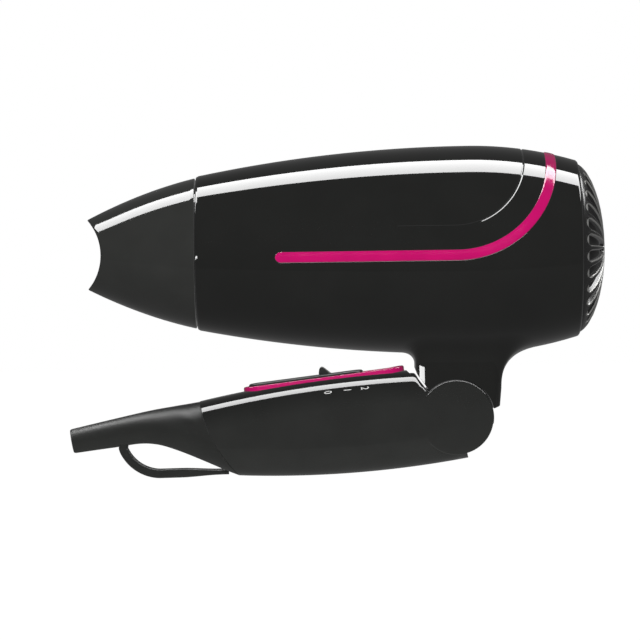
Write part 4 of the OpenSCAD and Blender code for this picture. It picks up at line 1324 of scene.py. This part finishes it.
swing = math.hypot(hinge[0] - tip_lo.x, hinge[1] - tip_lo.z)
floor_gap = 4
ground = (hinge[1] - swing - floor_gap) * MM  # the open handle clears the floor
floor = sheet_of("floor", [(-6, -6, ground), (6, -6, ground), (6, 6, ground), (-6, 6, ground)],
                 lamp_material("pale_floor", 1.0, 0.2, 0.05))
floor.visible_glossy = False
floor.visible_shadow = False
table_edge = 2.4 * ground
table = sheet_of("table_top", [(-2, table_edge, ground), (2.2, table_edge, ground), (2.2, 3, ground), (-2, 3, ground)],
                 lamp_material("table_glow", 1.0, 0.2))
table.visible_camera = False
table.visible_diffuse = False
table.visible_shadow = False

world = bpy.data.worlds.new("studio")
scene.world = world
world.use_nodes = True
tree = world.node_tree
back = tree.nodes["Background"]
path = tree.nodes.new("ShaderNodeLightPath")
level = tree.nodes.new("ShaderNodeMapRange")
level.inputs["To Min"].default_value = 0.16
level.inputs["To Max"].default_value = 1.0
tree.links.new(path.outputs["Is Camera Ray"], level.inputs["Value"])
tree.links.new(level.outputs["Result"], back.inputs["Strength"])
back.inputs["Color"].default_value = (1, 1, 1, 1)


def softbox(name, centre, size, target, radiance, glossy=True, diffuse=True):
    """Rectangular soft light of a given radiance, aimed at a point."""
    data = bpy.data.lights.new(name, "AREA")
    data.shape = "RECTANGLE"
    data.size, data.size_y = size
    data.energy = radiance * math.pi * size[0] * size[1]
    light = bpy.data.objects.new(name, data)
    light.location = centre
    light.rotation_euler = (Vector(target) - Vector(centre)).to_track_quat("-Z", "Y").to_euler()
    light.visible_glossy = glossy
    light.visible_diffuse = diffuse
    light.visible_camera = False
    scene.collection.objects.link(light)
    return light


def light_for(light, name, pieces, state="INCLUDE"):
    """Lets a light reach only the listed pieces, or all but them."""
    group = bpy.data.collections.new(name)
    for piece in pieces:
        group.objects.link(piece)
    for entry in group.collection_objects:
        entry.light_linking.link_state = state
    light.light_linking.receiver_collection = group


rig_h = 1.2
folding = riders["handle"] + riders["switch"]


def strip_light(name, front, back):
    """Long overhead strip between two slopes seen from the object."""
    middle = (front + back) / 2 * rig_h
    return softbox(name, (0.05, middle, rig_h), (3.6, (back - front) * rig_h), (0.05, middle, 0), 13.0, diffuse=False)


light_for(strip_light("barrel_strip", 0.075, 0.5), "not_the_handle", folding, "EXCLUDE")
light_for(strip_light("handle_strip", -0.14, 0.287), "handle_only", folding)
softbox("front_fill", (0.0, -1.8, 0.5), (1.6, 1.2), (0.05, 0, -0.03), 4.6, glossy=False)
softbox("back_fill", (0.1, 1.8, 0.4), (1.6, 1.2), (0.05, 0, -0.03), 4.6, glossy=False)
light_for(softbox("low_fill", (0.04, -0.7, -1.1), (1.6, 1.0), (0.05, 0, -0.08), 5.0, glossy=False), "handle_low", folding)
light_for(softbox("left_card", (-0.776, -0.5, -0.075), (1.0, 0.05), (0.09, 0, -0.075), 20.0, diffuse=False),
          "housings_only", [piece for piece in riders["barrel"] if piece.name.startswith("housing_") and "screw" not in piece.name])
for piece in bpy.data.objects:
    if piece.type == "MESH" and piece not in (floor, table):
        piece.visible_glossy = False

camera_data = bpy.data.cameras.new("camera")
camera = bpy.data.objects.new("camera", camera_data)
scene.collection.objects.link(camera)
scene.camera = camera
distance = 1.55
view_width = 0.256
camera_data.lens = camera_data.sensor_width * distance / view_width
aim = Vector((0.0488, 0.0, -0.0273))
camera.location = Vector((aim.x, -distance, 0.0))
roll = math.radians(-0.82)
camera.rotation_euler = (
    (aim - camera.location).to_track_quat("-Z", "Y").to_matrix() @ Matrix.Rotation(roll, 3, "Z")
).to_euler()
